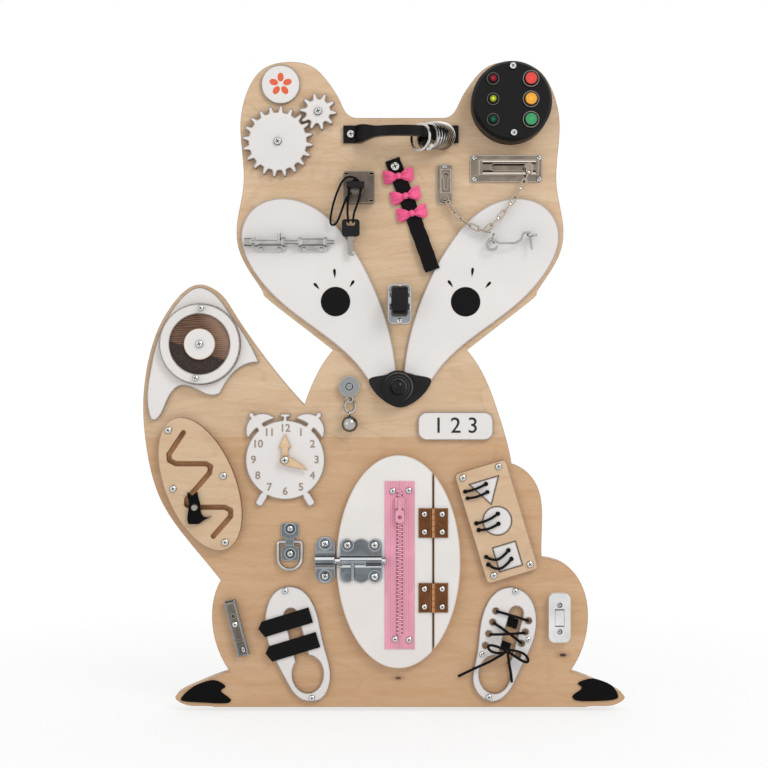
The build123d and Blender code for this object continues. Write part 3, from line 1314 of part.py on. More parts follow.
def shape_cords(spans):
    """A pair of short laces from the plate's edge to the shape."""
    face = FRONT + SHAPES_THICK
    cords = []
    for (x0, z0), (x1, z1), sag in spans:
        a, b = (x0, -face - 1.7, z0), (x1, -face - 1.7, z1)
        third = [(x0 + (x1 - x0) * t, -face - 3.4, z0 + (z1 - z0) * t - sag) for t in (0.3, 0.7)]
        route = [a, *third, b]
        cords.append(wire(route, soft_radii(route), LACE_DIA))
    return cords


TRIANGLE_CORDS = (((64.9, 215.9), (85.4, 223.5), 1.0), ((67.3, 209.2), (86.9, 215.4), 1.0))
ROUND_CORDS = (((75.9, 184.3), (97.4, 193.9), 1.5), ((78.3, 177.6), (97.9, 183.8), 1.5))
SQUARE_CORDS = (((85.7, 150.8), (107.9, 157.5), 3.5), ((87.8, 143.2), (110.8, 148.9), 3.5))


# ---------------------------------------------------------------- shoes


def shoe_plate(line, slot, opening, tilt):
    """A shoe's outline with a slot under its fastening that runs into the round opening."""
    outline = area(Spline(*line)) - Pos(*slot) * Rot(0, 0, tilt) * SlotOverall(*SHOE_SLOT, rotation=90)
    return outline - Pos(*opening) * Ellipse(SHOE_OPENING[0] / 2, SHOE_OPENING[1] / 2)


def shoe_plates():
    left = shoe_plate(LEFT_SHOE, LEFT_SLOT, LEFT_OPENING, SHOE_TILT)
    right = shoe_plate(RIGHT_SHOE, RIGHT_SLOT, RIGHT_OPENING, -SHOE_TILT)
    for place in EYELETS:
        right -= Pos(*place) * Circle(EYELET_DIA / 2)
    return [slab(left, FRONT, PLY), slab(right, FRONT, PLY)]


def shoe_lace():
    face = PLATE_FRONT + LACE_DIA / 2 + 0.2
    over = face + LACE_DIA + 0.3
    top = over + LACE_DIA + 0.3
    routes = [
        [(95.5, -face, 96.7), (112, -face - 1, 92.5), (128.3, -face, 86.9)],
        [(92.5, -face, 85.5), (107, -face - 1, 76.5), (121.3, -face, 64.4)],
        [(88.5, -over, 73.9), (107, -over - 1, 74.0), (125, -over, 75.7)],
        [(104, -top, 59), (95, -top - 1, 63.5), (87, -top, 64), (88, -top, 58.5), (98, -top, 55), (106, -top, 57)],
        [(104, -top - 3.2, 60), (118, -top - 3, 59), (127, -top, 52), (127, -top, 46), (119, -top, 49), (107, -top, 57.5)],
        [(103, -top - 2.8, 56.2), (90, -top - 1, 48), (74, -top + 2, 40.5), (58.1, -FRONT - 3, 31.3)],
        [(106.6, -top - 2.8, 56.3), (108, -top - 1, 46), (110, -top, 36), (111.3, -face, 26.4)],
    ]
    return [wire(route, soft_radii(route), LACE_DIA) for route in routes]


SHOE_STRAP_DEPTH = PLATE_FRONT + RUN


def shoe_strap(end):
    """A hook-and-loop strap with a pointed tip, by the middle of its square end."""
    long, half = SHOE_STRAP_LONG, SHOE_STRAP_WIDE / 2
    outline = make_face(Polyline((0, half), (-long + 5, half), (-long, 2), (-long + 4, -half), (0, -half), close=True))
    return slab(Pos(*end) * Rot(0, 0, SHOE_STRAP_TILT) * outline, SHOE_STRAP_DEPTH, 2.0)


STRAP_UPPER_END = (-89.0, 92.9)
STRAP_LOWER_END = (-81.8, 68.4)


# ---------------------------------------------------------------- rocker switch


def switch_case():
    case = slab(Pos(*SWITCH) * RectangleRounded(SWITCH_WIDE, SWITCH_TALL, 6), FRONT, SWITCH_DEEP)
    well = (ROCKER_WIDE + 2 * RUN, ROCKER_TALL + 2 * RUN)
    case -= bar(SWITCH, well, FRONT + 3, SWITCH_DEEP)
    for dz in (-13.2, 13.2):
        case -= disc((SWITCH[0] + 0.1, SWITCH[1] - 0.5 + dz), 5.4, FRONT + 4, SWITCH_DEEP)
    return case


ROCKER_AXIS_DEPTH = FRONT + 6.0


def switch_rocker():
    """A rocker with two faces that meet at its middle, on a round hub."""
    mid, end = 2.2, ROCKER_TALL / 2 - 0.9
    corners = ((-1.2, -end), (mid + 0.6, -end), (mid, 0), (mid + 1.6, end), (-1.2, end))
    profile = make_face(Polyline(*corners, close=True))
    return along_x(Pos(ROCKER_AXIS_DEPTH, SWITCH[1]) * profile, SWITCH[0] - ROCKER_WIDE / 2, ROCKER_WIDE)


# ---------------------------------------------------------------- pivots and the list of pieces

PIVOTS = (
    (BIG_GEAR, GEAR_DEPTH + GEAR_THICK + RUN),
    (SMALL_GEAR, GEAR_DEPTH + GEAR_THICK + RUN),
    (TAIL_RING, DISC_FRONT + RUN),
    (CLOCK, MINUTE_DEPTH + HAND_THICK + RUN),
    (STRAP_SCREW, FRONT + RUN + STRAP_THICK + RUN),
)


def screws():
    pieces = [pivot_screw(place, seat) for place, seat in PIVOTS]
    half = HANDLE_CENTRES / 2
    for dx in (-half, half):
        pieces.append(pan_head((HANDLE[0] + dx, HANDLE[1]), FRONT + HANDLE_FOOT_THICK))
    return pieces


def build():
    NODES["back_board"] = board()
    NODES["face_plates"] = face_plates()
    NODES["tail_plates"] = tail_plates()
    NODES["white_plates"] = white_plates()
    NODES["texture_disc"] = texture_disc()
    NODES["big_gear"] = gear(BIG_GEAR, BIG_TEETH, 90 - 5.7)
    NODES["small_gear"] = gear(SMALL_GEAR, SMALL_TEETH, SMALL_FIRST_TOOTH)
    NODES["light_box"] = light_box()
    for name, row in zip(("button_red", "button_amber", "button_green"), LIGHT_ROWS):
        NODES[name] = button(row)
    NODES["bow_handle"] = bow_handle()
    NODES["key_rings"] = key_rings()
    NODES["lock_case"] = lock_case()
    NODES["lock_key"] = lock_key()
    NODES["spare_key"] = spare_key()
    NODES["key_cord"] = key_cord()
    NODES["bow_strap"] = bow_strap()
    NODES["chain_plates"] = chain_plates()
    NODES["chain_slider"] = chain_slider()
    NODES["chain_right"] = chain_right()
    NODES["chain_left"] = chain_left()
    NODES["bolt_cases"] = bolt_cases()
    NODES["bolt_rod"] = bolt_rod()
    NODES["screw_eyes"] = screw_eyes()
    NODES["cabin_hook"] = cabin_hook()
    NODES["caster_fork"] = caster_fork()
    NODES["caster_wheel"] = caster_wheel()
    NODES["bell_body"] = bell_body()
    NODES["bell_lever"] = bell_lever()
    NODES["jingle_bell"] = jingle_bell()
    NODES["maze_plate"] = maze_plate()
    NODES["maze_cat"] = maze_cat()
    NODES["clock_face"] = clock_face()
    NODES["hour_hand"] = hour_hand()
    NODES["minute_hand"] = minute_hand()
    NODES["surface_plates"] = surface_plates()
    NODES["d_ring"] = d_ring()
    NODES["strip_lever"] = strip_lever()
    NODES["door_panel"] = door_panel()
    NODES["side_panel"] = side_panel()
    NODES["fixed_hinge_leaves"] = fixed_hinge_leaves()
    NODES["door_hinge_leaves"] = door_hinge_leaves()
    NODES["zip_tape"] = zip_tape()
    NODES["zip_slider"] = zip_slider()
    NODES["latch_case"] = latch_case()
    NODES["latch_bolt"] = latch_bolt()
    NODES["shapes_plate"] = shapes_plate()
    for kind, spans in (("triangle", TRIANGLE_CORDS), ("circle", ROUND_CORDS), ("square", SQUARE_CORDS)):
        NODES["shape_" + kind] = shape(kind)
        NODES[kind + "_cords"] = shape_cords(spans)
    NODES["shoe_lace"] = shoe_lace()
    NODES["strap_upper"] = shoe_strap(STRAP_UPPER_END)
    NODES["strap_lower"] = shoe_strap(STRAP_LOWER_END)
    NODES["switch_case"] = switch_case()
    NODES["switch_rocker"] = switch_rocker()
    NODES["screws"] = screws()


# A tooth of the small gear points into the gap between the two big teeth nearest to the line of centres.
BIG_PHASE = (SMALL_GEAR_ANGLE - (90 - 5.7)) % (360 / BIG_TEETH)
SMALL_FIRST_TOOTH = SMALL_GEAR_ANGLE + 180 + (BIG_PHASE - 180 / BIG_TEETH) * BIG_TEETH / SMALL_TEETH

build()
os.makedirs("parts", exist_ok=True)
for name, piece in NODES.items():
    solids = [s for p in piece for s in p.solids()] if isinstance(piece, list) else piece.solids()
    export_step(Compound(children=list(solids)), f"parts/{name}.step")
print(len(NODES), "nodes")
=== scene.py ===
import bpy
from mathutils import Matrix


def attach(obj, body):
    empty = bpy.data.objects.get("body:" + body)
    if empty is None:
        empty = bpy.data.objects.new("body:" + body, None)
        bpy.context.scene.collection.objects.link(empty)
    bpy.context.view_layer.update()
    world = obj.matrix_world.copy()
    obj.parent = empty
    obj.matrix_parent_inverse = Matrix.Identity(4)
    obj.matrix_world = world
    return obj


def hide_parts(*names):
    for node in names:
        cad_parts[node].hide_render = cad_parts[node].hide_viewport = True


bl_info = {
    "name": "Busy board",
    "version": (1, 0, 0),
    "blender": (4, 5, 0),
    "location": "View3D > Sidebar > Busy board",
    "description": "Dresses the plywood activity board: wood, paint, fittings, cords and stage",
    "category": "Object",
}

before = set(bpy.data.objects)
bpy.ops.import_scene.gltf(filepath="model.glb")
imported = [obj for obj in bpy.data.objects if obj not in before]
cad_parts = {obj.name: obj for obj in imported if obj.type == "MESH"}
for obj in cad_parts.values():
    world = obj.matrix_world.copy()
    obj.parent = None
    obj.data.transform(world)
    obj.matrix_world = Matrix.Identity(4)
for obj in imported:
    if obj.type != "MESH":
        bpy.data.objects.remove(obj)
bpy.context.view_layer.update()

import math
import random

import bmesh
import bpy
from mathutils import Matrix, Vector

MM = 0.001

# depths out of the board's back, mm
FRONT = 18.0            # the board's face
PLATE_FRONT = 22.0      # the painted plates' faces
SHAPES_FRONT = 24.0     # the shapes board's face
DOOR_FRONT = 26.3       # the door's face, under the zip

# places across and up, mm
CLOCK = (-114.6, 247.3)
HOUR_RING = 31.5        # radius of the hour figures
BADGE = (-119.2, 622.1)
BADGE_FRONT = 21.0      # depth of its face
PETAL_RING = 7.2        # radius of its petals' middles
NAME_PLATE = (55.5, 281.0)
DISC = (-199.3, 362.7)
BELL = (-2.0, 320.0)
LAMP_X, BUTTON_X = 91.0, 128.2
LAMPS_Z = (622.5, 602.5, 582.5)


# ------------------------------------------------------------------ places and small helpers


def srgb(red, green, blue):
    """A colour as it is seen, 0 to 255, as the linear values that a shader takes."""
    shares = (red / 255, green / 255, blue / 255)
    return tuple(c / 12.92 if c <= 0.04045 else ((c + 0.055) / 1.055) ** 2.4 for c in shares) + (1.0,)


def times(colour, share, more=0.0):
    """A colour made lighter or darker by a share, and raised by a little more."""
    return tuple(min(1.0, c * share + more) for c in colour[:3]) + (1.0,)


def at(x, depth, z):
    """Millimetres across, out of the board and up, as a point in metres."""
    return Vector((x * MM, -depth * MM, z * MM))


def turned(dx, dz, tilt, centre):
    """A place beside a centre, turned about it by so many degrees."""
    c, s = math.cos(math.radians(tilt)), math.sin(math.radians(tilt))
    return centre[0] + dx * c - dz * s, centre[1] + dx * s + dz * c


def link(obj, body, shade, smooth=0):
    """Adds a piece to the scene: the body that it rides on and its material."""
    bpy.context.scene.collection.objects.link(obj)
    obj.data.materials.append(shade.material)
    if smooth:
        obj.data.shade_smooth()
        obj.data.set_sharp_from_angle(angle=math.radians(smooth))
    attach(obj, body)
    return obj


def from_bmesh(name, form, body, shade, smooth=30, outward=True):
    """A mesh piece from a finished form, with its faces turned outward."""
    if outward:
        bmesh.ops.recalc_face_normals(form, faces=form.faces)
    mesh = bpy.data.meshes.new(name)
    form.to_mesh(mesh)
    form.free()
    return link(bpy.data.objects.new(name, mesh), body, shade, smooth)


def skin(form, rows, around=True):
    """Faces between rows of points. A row of one point is a tip."""
    faces = []
    for low, high in zip(rows, rows[1:]):
        count = max(len(low), len(high))
        for k in range(count if around else count - 1):
            n = k + 1
            corners = (low[k % len(low)], low[n % len(low)], high[n % len(high)], high[k % len(high)])
            faces.append(form.faces.new(list(dict.fromkeys(corners))))
    return faces


def spun(form, profile, steps, place):
    """A profile of (radius, depth) in mm, turned about the line that points out of the board."""
    angles = [2 * math.pi * k / steps for k in range(steps)]
    rows = []
    for radius, depth in profile:
        spots = [(radius * math.cos(a), radius * math.sin(a)) for a in angles] if radius else [(0, 0)]
        rows.append([form.verts.new(place @ at(x, depth, z)) for x, z in spots])
    skin(form, rows)


def plate(form, outline, depth, thick):
    """A flat outline of (x, z) in mm, standing out from a depth by a thickness."""
    back, front = [[form.verts.new(at(x, d, z)) for x, z in outline] for d in (depth, depth + thick)]
    form.faces.new(back)
    form.faces.new(front)
    skin(form, (back, front))


def rounded(points, steps):
    """A smooth closed line through a few points."""
    line = []
    for k in range(len(points)):
        p = [Vector(points[(k + d) % len(points)]) for d in (-1, 0, 1, 2)]
        for s in range(steps):
            t = s / steps
            line.append(tuple(0.5 * (
                2 * p[1] + (p[2] - p[0]) * t + (2 * p[0] - 5 * p[1] + 4 * p[2] - p[3]) * t * t
                + (3 * p[1] - p[0] - 3 * p[2] + p[3]) * t ** 3
            )))
    return line


# ------------------------------------------------------------------ shader building


class Sock:
    """A socket that adds its Math nodes as Python works out an expression."""

    def __init__(self, graph, socket):
        self.graph = graph
        self.socket = socket

    def _with(self, operation, *terms):
        return self.graph.node("ShaderNodeMath", {"operation": operation}, dict(enumerate(terms))).out(0)

    def __add__(self, other):
        return self._with("ADD", self, other)

    def __radd__(self, other):
        return self._with("ADD", other, self)

    def __sub__(self, other):
        return self._with("SUBTRACT", self, other)

    def __rsub__(self, other):
        return self._with("SUBTRACT", other, self)

    def __mul__(self, other):
        return self._with("MULTIPLY", self, other)

    def __rmul__(self, other):
        return self._with("MULTIPLY", other, self)

    def __pow__(self, other):
        return self._with("POWER", self, other)

    def __gt__(self, other):
        return self._with("GREATER_THAN", self, other)

    def __lt__(self, other):
        return self._with("LESS_THAN", self, other)

    def __abs__(self):
        return self._with("ABSOLUTE", self)

    def sin(self):
        return self._with("SINE", self)

    def high(self, other):
        return self._with("MAXIMUM", self, other)


class Made:
    """A node that has been added, with its outputs by name or number."""

    def __init__(self, graph, node):
        self.graph = graph
        self.node = node

    def out(self, which):
        return Sock(self.graph, self.node.outputs[which])


class Graph:
    """A tree of nodes round one shader, in which every other node comes from one method."""

    def __init__(self, owner, shader):
        owner.use_nodes = True
        self.tree = owner.node_tree
        self.shader = self.tree.nodes[shader]

    def node(self, kind, settings=None, values=None):
        """Adds a node: its settings first, then the values or links of its sockets."""
        node = self.tree.nodes.new(kind)
        for key, value in (settings or {}).items():
            setattr(node, key, value)
        for socket, value in (values or {}).items():
            if isinstance(value, Sock):
                self.tree.links.new(value.socket, node.inputs[socket])
            else:
                node.inputs[socket].default_value = value
        return Made(self, node)

    def step(self, value, low, high, start=0.0, end=1.0):
        """Runs from 0 to 1, or from start to end, as a value passes from low to high."""
        sockets = {0: value, 1: low, 2: high, 3: start, 4: end}
        return self.node("ShaderNodeMapRange", {"clamp": True}, sockets).out(0)

    def seen(self):
        """1 for what the camera, a gloss or a glass sees, and 0 for light that falls on the piece."""
        path = self.node("ShaderNodeLightPath")
        camera, gloss, glass = [path.out("Is %s Ray" % kind) for kind in ("Camera", "Glossy", "Transmission")]
        return camera.high(gloss).high(glass)

    def put(self, socket, value):
        """Links a value to a socket of the shader."""
        self.tree.links.new(value.socket, self.shader.inputs[socket])


class Shade(Graph):
    """A material that is built as nodes round one Principled shader."""

    def __init__(self, name, **fixed):
        self.material = bpy.data.materials.new(name)
        super().__init__(self.material, "Principled BSDF")
        for socket, value in fixed.items():
            self.shader.inputs[socket.replace("_", " ")].default_value = value
        self._place = None

    def place(self):
        """Where a point is on the board, in millimetres, as three sockets: across, out, up."""
        if self._place is None:
            where = self.node("ShaderNodeTexCoord").out("Object")
            split = self.node("ShaderNodeSeparateXYZ", {}, {0: where})
            self._place = (split.out(0) * 1000, split.out(1) * -1000, split.out(2) * 1000)
        return self._place

    def away(self, cx, cz):
        """Distance in mm from the line that points out of the board at a place across and up."""
        x, _, z = self.place()
        dx, dz = x - cx, z - cz
        return (dx * dx + dz * dz) ** 0.5

    def facing(self):
        """1 on faces that look out of the board or back when the piece is at rest, 0 on its edges."""
        normal = self.node("ShaderNodeTexCoord").out("Normal")
        return abs(self.node("ShaderNodeSeparateXYZ", {}, {0: normal}).out(1))

    def edge(self, radius, low=0.998, high=0.94):
        """1 along the piece's sharp edges, within a radius in mm, and 0 away from them."""
        soft = self.node("ShaderNodeBevel", {"samples": 6}, {"Radius": radius * MM}).out(0)
        normal = self.node("ShaderNodeNewGeometry").out("Normal")
        both = {0: soft, 1: normal}
        alike = self.node("ShaderNodeVectorMath", {"operation": "DOT_PRODUCT"}, both).out("Value")
        return self.step(alike, low, high)

    def noise(self, stretch, scale=1.0, detail=3.0, rough=0.5, warp=0.0):
        """Cloudy noise on the piece's own place, stretched by a share across, out and up."""
        x, out, z = self.place()
        parts = {0: x * stretch[0], 1: out * stretch[1], 2: z * stretch[2]}
        return self.node("ShaderNodeTexNoise", {}, {
            "Vector": self.node("ShaderNodeCombineXYZ", {}, parts).out(0),
            "Scale": scale, "Detail": detail, "Roughness": rough, "Distortion": warp,
        }).out(0)

    def mix(self, factor, one, two):
        """From one colour to another by a factor."""
        return self.node("ShaderNodeMix", {"data_type": "RGBA"}, {0: factor, 6: one, 7: two}).out(2)

    def bump(self, height, strength, distance=0.0002):
        """Fine relief from a height of 0 to 1, over a distance in metres."""
        values = {"Strength": strength, "Distance": distance, "Height": height}
        self.put("Normal", self.node("ShaderNodeBump", {}, values).out(0))


def between(value, low, high):
    """1 where a socket's value lies between two numbers, and 0 elsewhere."""
    return (value > low) * (value < high)


def dress(shade, *nodes):
    """Gives a material to pieces of the frame."""
    for name in nodes:
        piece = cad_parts[name]
        piece.data.materials.clear()
        piece.data.materials.append(shade.material)
        piece.data.shade_smooth()
        piece.data.set_sharp_from_angle(angle=math.radians(30))


WHITE = srgb(226, 222, 219)
SCORCHED_EDGE = srgb(84, 62, 46)
PALE_PLY, DEEP_PLY = srgb(217, 191, 159), srgb(194, 159, 122)
# a cut edge of plywood: its glue lines, its pale layers and its stains
CUT = (srgb(150, 112, 78), srgb(214, 184, 146), srgb(176, 140, 104))
BURNT = (srgb(104, 66, 40), srgb(140, 96, 62), srgb(116, 76, 48))


def plywood(name, pale, deep, layers, thickness, start, seam=None, cut=CUT, knots=()):
    """Plywood face with fine level grain, and the stacked layers on its cut edges."""
    shade = Shade(name, Coat_Weight=0.12, Coat_Roughness=0.35)
    x, out, z = shade.place()
    bands = shade.noise((0.012, 0.2, 0.09), 1.0, 4.0, 0.6, 0.8)
    grain = shade.noise((0.05, 1.0, 1.6), 1.0, 5.0, 0.65, 0.2)
    flecks = shade.noise((0.16, 1.0, 3.2), 1.0, 2.0, 0.5)
    tone = shade.step(bands * 0.42 + grain * 0.38 + flecks * 0.2, 0.3, 0.72)
    face = shade.mix(tone, pale, deep)
    sweep = shade.noise((0.005, 0.2, 0.012), 1.0, 2.0, 0.5, 0.6)
    figure = shade.step((sweep * 60 + z * 0.10).sin(), 0.86, 1.0) * shade.step(flecks, 0.35, 0.6)
    face = shade.mix(figure * 0.3, face, times(deep, 0.76))
    if seam is not None:
        lower = shade.step(z + shade.noise((0.02, 0, 0.0), 1.0) * 2.0, seam + 1.4, seam + 0.6)
        face = shade.mix(lower * (out > 9.0) * (0.36 + tone * 0.25), face, srgb(188, 138, 90))
    for kx, kz, radius, colour in knots:
        dx, dz = (x - kx) * 0.5, z - kz
        ring = (dx * dx + dz * dz) ** 0.5 + (grain - 0.5) * 1.6
        face = shade.mix(shade.step(ring, radius * 2.6, radius) * 0.3, face, colour)
        face = shade.mix(shade.step(ring, radius, radius * 0.6), face, colour)
    line = ((out - start) * (math.pi * layers / thickness)).sin()
    ply = shade.mix(shade.step(line, -0.2, 0.3), cut[0], cut[1])
    ply = shade.mix(shade.step(shade.noise((0.3, 3.0, 0.3), 1.0), 0.45, 0.7), ply, cut[2])
    flat = shade.step(shade.facing(), 0.6, 0.8)
    # a darker line along every edge of the face, in the cut edge's glue-line colour: partly the cut edge,
    # partly painted contact shadow
    face = shade.mix(shade.edge(1.5) * 0.75, face, cut[0])
    shade.put("Base Color", shade.mix(flat, ply, face))
    shade.put("Roughness", 0.46 + grain * 0.16)
    shade.bump(grain * 0.6 + flecks * 0.4, 0.12)
    return shade


def lacquer(name, colour, edge=SCORCHED_EDGE, rough=0.34, gleam=0.5, scorch_and_shade_rim=0.0):
    """Smooth lacquer on a plate, with its burnt laser-cut edge on its side faces, and a dark line in the
    edge's colour along the border of its face: partly burnt edge, partly painted contact shadow.
    """
    shade = Shade(name, Coat_Weight=0.3 * gleam, Coat_Roughness=0.25, Specular_IOR_Level=gleam)
    fine = shade.noise((1, 1, 1), 0.9, 4.0, 0.6)
    broad = shade.noise((1, 1, 1), 0.018, 2.0, 0.5)
    face = shade.mix(shade.step(broad, 0.35, 0.7), colour, times(colour, 0.94))
    dark = shade.mix(shade.step(shade.noise((0.5, 4.0, 0.5), 1.0), 0.35, 0.65), edge, srgb(168, 134, 98))
    flat = shade.step(shade.facing(), 0.55, 0.8)
    painted = shade.mix(flat, dark, face)
    # dark line along the border of the face: partly the burnt edge, partly painted contact shadow
    if scorch_and_shade_rim:
        painted = shade.mix(shade.edge(2.2, 0.999, 0.97) * scorch_and_shade_rim, painted, edge)
    shade.put("Base Color", painted)
    shade.put("Roughness", (rough - 0.05) + fine * 0.12)
    shade.bump(fine, 0.05, 0.0001)
    return shade


def metal(name, colour, rough, brushed, stain_and_wall_shade, regions=(), dishes=(), edge_highlight=0.9):
    """Plated steel: scratches and dark stains, painted shade on faces that turn sideways, a painted highlight
    along sharp edges, regions by mask, and dished screw seats painted as a ring of shade and a ring of
    highlight.
    """
    shade = Shade(name, Metallic=1.0)
    cloud = shade.noise((1, 1, 1), 0.07, 3.0, 0.5, 0.5)
    fine = shade.noise((1, 1, 1), 0.9, 3.0, 0.65)
    scratch = shade.noise((0.1, 2.0, 2.4), 1.0, 3.0, 0.6)
    base = shade.mix(shade.step(cloud, 0.38, 0.62) * 0.7, colour, times(colour, 0.62))
    for mask, tone in regions:
        base = shade.mix(mask(*shade.place()), base, tone)
    # each dished seat is painted: a dark ring of painted shade, then a bright ring of painted highlight
    for cx, cz, size in dishes:
        far = shade.away(cx, cz)
        base = shade.mix(between(far, size, size + 1.4) * 0.85, base, times(colour, 0.16))
        base = shade.mix(between(far, size + 1.4, size + 2.2) * 0.7, base, times(colour, 2.4))
    # painted shade on faces that turn sideways, such as the sides of round wire; the dark spots after it are
    # stains
    wall_shade = shade.step(shade.facing(), 0.8, 0.4) * stain_and_wall_shade
    base = shade.mix(wall_shade, base, srgb(34, 31, 30))
    base = shade.mix(shade.step(fine, 0.62, 0.74) * stain_and_wall_shade * 0.5, base, srgb(60, 54, 50))
    # painted highlight along sharp edges, with light scratches
    edge_highlight_and_scratches = shade.edge(1.6) * (1 - wall_shade) * edge_highlight + shade.step(scratch, 0.56, 0.7) * 0.2
    shade.put("Base Color", shade.mix(edge_highlight_and_scratches, base, times(colour, 2.3)))
    shade.put("Roughness", rough + (cloud - 0.5) * 0.12 + (scratch - 0.5) * brushed)
    shade.bump(scratch * 0.5 + fine * 0.5, 0.05 + brushed * 0.3, 0.0001)
    return shade


def moulded(name, colour, rough, grain, gleam=0.5, **fixed):
    """Moulded plastic or rubber with a fine spark texture."""
    shade = Shade(name, Specular_IOR_Level=gleam, **fixed)
    fine = shade.noise((1, 1, 1), 2.2, 3.0, 0.6)
    broad = shade.noise((1, 1, 1), 0.06, 3.0, 0.5)
    shine = times(colour, 1.25, 0.004)
    shade.put("Base Color", shade.mix(shade.step(broad, 0.35, 0.75), colour, shine))
    shade.put("Roughness", (rough - 0.06) + fine * 0.14)
    shade.bump(fine, 0.15 * grain, 0.0002)
    return shade


def cloth(name, colour, pitch, tilt, lift, strength, sheen, gleam):
    """Woven tape: warp and weft as crossed waves along the tape's own directions."""
    shade = Shade(name, Sheen_Weight=sheen, Sheen_Roughness=0.5, Specular_IOR_Level=gleam)
    x, _, z = shade.place()
    c, s = math.cos(math.radians(tilt)), math.sin(math.radians(tilt))
    along = (x * c + z * s) * (2 * math.pi / pitch)
    across = (z * c - x * s) * (2 * math.pi / pitch)
    weave = along.sin() * across.sin() * 0.5 + 0.5
    fuzz = shade.noise((1, 1, 1), 1.6, 4.0, 0.7)
    woven = shade.step(weave * 0.6 + fuzz * 0.4, 0.3, 0.75)
    shade.put("Base Color", shade.mix(woven, colour, times(colour, lift, 0.004)))
    shade.put("Roughness", 0.78 + fuzz * 0.18)
    shade.bump(weave * 0.7 + fuzz * 0.5, strength, 0.0003)
    return shade


# ------------------------------------------------------------------ settings


class BoardLook(bpy.types.PropertyGroup):
    wood_pale: bpy.props.FloatVectorProperty(
        name="Pale wood", description="Lightest birch of the board's face", subtype="COLOR", size=4,
        default=srgb(222, 197, 167),
    )
    wood_deep: bpy.props.FloatVectorProperty(
        name="Deep wood", description="Darker grain of the board's face", subtype="COLOR", size=4,
        default=srgb(190, 153, 112),
    )
    white: bpy.props.FloatVectorProperty(
        name="White lacquer", description="Paint of the white plates", subtype="COLOR", size=4, default=WHITE,
    )
    pink: bpy.props.FloatVectorProperty(
        name="Pink", description="Zip tape and its teeth", subtype="COLOR", size=4,
        default=srgb(228, 158, 178),
    )
    ribbon: bpy.props.FloatVectorProperty(
        name="Ribbon", description="Satin bows on the strap", subtype="COLOR", size=4,
        default=srgb(228, 84, 134),
    )


class StageLook(bpy.types.PropertyGroup):
    lens: bpy.props.FloatProperty(
        name="Lens", description="Focal length", default=70.0, subtype="DISTANCE_CAMERA",
    )
    distance: bpy.props.FloatProperty(
        name="Distance", description="From the board's face to the camera", default=1.4933, unit="LENGTH",
    )
    key_power: bpy.props.FloatProperty(
        name="Key light", description="Strength of the main soft light", default=16.0, unit="POWER",
    )
    sky: bpy.props.FloatProperty(
        name="Fill", description="Strength of the even light all round", default=0.74, subtype="FACTOR",
    )


# ------------------------------------------------------------------ stage


CAMERA_X, CAMERA_Z = -16, 323       # the camera looks straight at this place, mm
FLOOR_HALF, FLOOR_Z = 6, -0.004     # metres
LIT_POINT = Vector((0, 0, 0.33))    # metres


class BUSYBOARD_OT_stage(bpy.types.Operator):
    """Camera straight in front, pale floor, and soft light from the upper right"""

    bl_idname = "busyboard.stage"
    bl_label = "Stage"

    def execute(self, context):
        look = context.scene.board_stage
        scene = context.scene
        scene.view_settings.view_transform = "Standard"
        lens = bpy.data.cameras.new("camera")
        lens.lens = look.lens
        lens.clip_end = 50
        camera = bpy.data.objects.new("camera", lens)
        camera.location = at(CAMERA_X, FRONT + look.distance / MM, CAMERA_Z)
        camera.rotation_euler = (math.radians(90), 0, 0)
        scene.collection.objects.link(camera)
        scene.camera = camera

        scene.world = bpy.data.worlds.new("studio")
        studio = Graph(scene.world, "Background")
        studio.shader.inputs["Color"].default_value = (1, 1, 1, 1)
        studio.put("Strength", studio.step(studio.seen(), 0.0, 1.0, look.sky, 1.0))

        form = bmesh.new()
        corners = [(-1, -1), (1, -1), (1, 1), (-1, 1)]
        form.faces.new([form.verts.new((x * FLOOR_HALF, y * FLOOR_HALF, FLOOR_Z)) for x, y in corners])
        mesh = bpy.data.meshes.new("floor")
        form.to_mesh(mesh)
        form.free()
        mesh.materials.append(self.floor_paint().material)
        floor = bpy.data.objects.new("floor", mesh)
        scene.collection.objects.link(floor)

        self.lamp("key", (1.1, -1.5, 1.75), 0.9, look.key_power)
        self.lamp("fill", (-1.5, -1.7, 0.7), 1.4, look.key_power * 0.22)
        return {"FINISHED"}

    def floor_paint(self):
        """Pale floor that shows white to the camera and keeps the object's shadow."""
        shade = Shade("pale_floor", Roughness=0.9)
        fine = shade.noise((1, 1, 1), 0.02, 2.0)
        shade.put("Base Color", shade.mix(fine, (0.93, 0.93, 0.93, 1), (0.97, 0.97, 0.97, 1)))
        glow = shade.node("ShaderNodeEmission", {}, {"Color": (1, 1, 1, 1), "Strength": 1.0}).out(0)
        x, out, _ = shade.place()
        away = shade.step((x * x + out * out) ** 0.5, 180.0, 700.0)
        share = shade.seen() * (0.7 + away * 0.3)
        matt = Sock(shade, shade.shader.outputs[0])
        both = shade.node("ShaderNodeMixShader", {}, {0: share, 1: matt, 2: glow}).out(0)
        shade.tree.links.new(both.socket, shade.tree.nodes["Material Output"].inputs[0])
        return shade

    def lamp(self, name, place, size, power):
        """A soft round lamp that points at the middle of the board."""
        light = bpy.data.lights.new(name, "AREA")
        light.shape = "DISK"
        light.size = size
        light.energy = power
        lamp = bpy.data.objects.new(name, light)
        lamp.location = place
        lamp.rotation_euler = (LIT_POINT - Vector(place)).to_track_quat("-Z", "Y").to_euler()
        bpy.context.scene.collection.objects.link(lamp)


# ------------------------------------------------------------------ finishes of the frame's own pieces


# middle line of the maze's groove, across and up
MAZE_ROUTE = (
    (-215.5, 274.6), (-230.0, 253.0), (-229.5, 247.0), (-223.0, 243.7), (-193.0, 243.7), (-188.5, 241.0),
    (-189.5, 234.5), (-212.0, 208.5), (-212.5, 203.0), (-208.0, 200.4), (-174.5, 200.4), (-168.5, 197.5),
    (-168.5, 191.5), (-185.8, 171.6),
)
GROOVE_HALF = 2.9       # half of the groove's width, mm


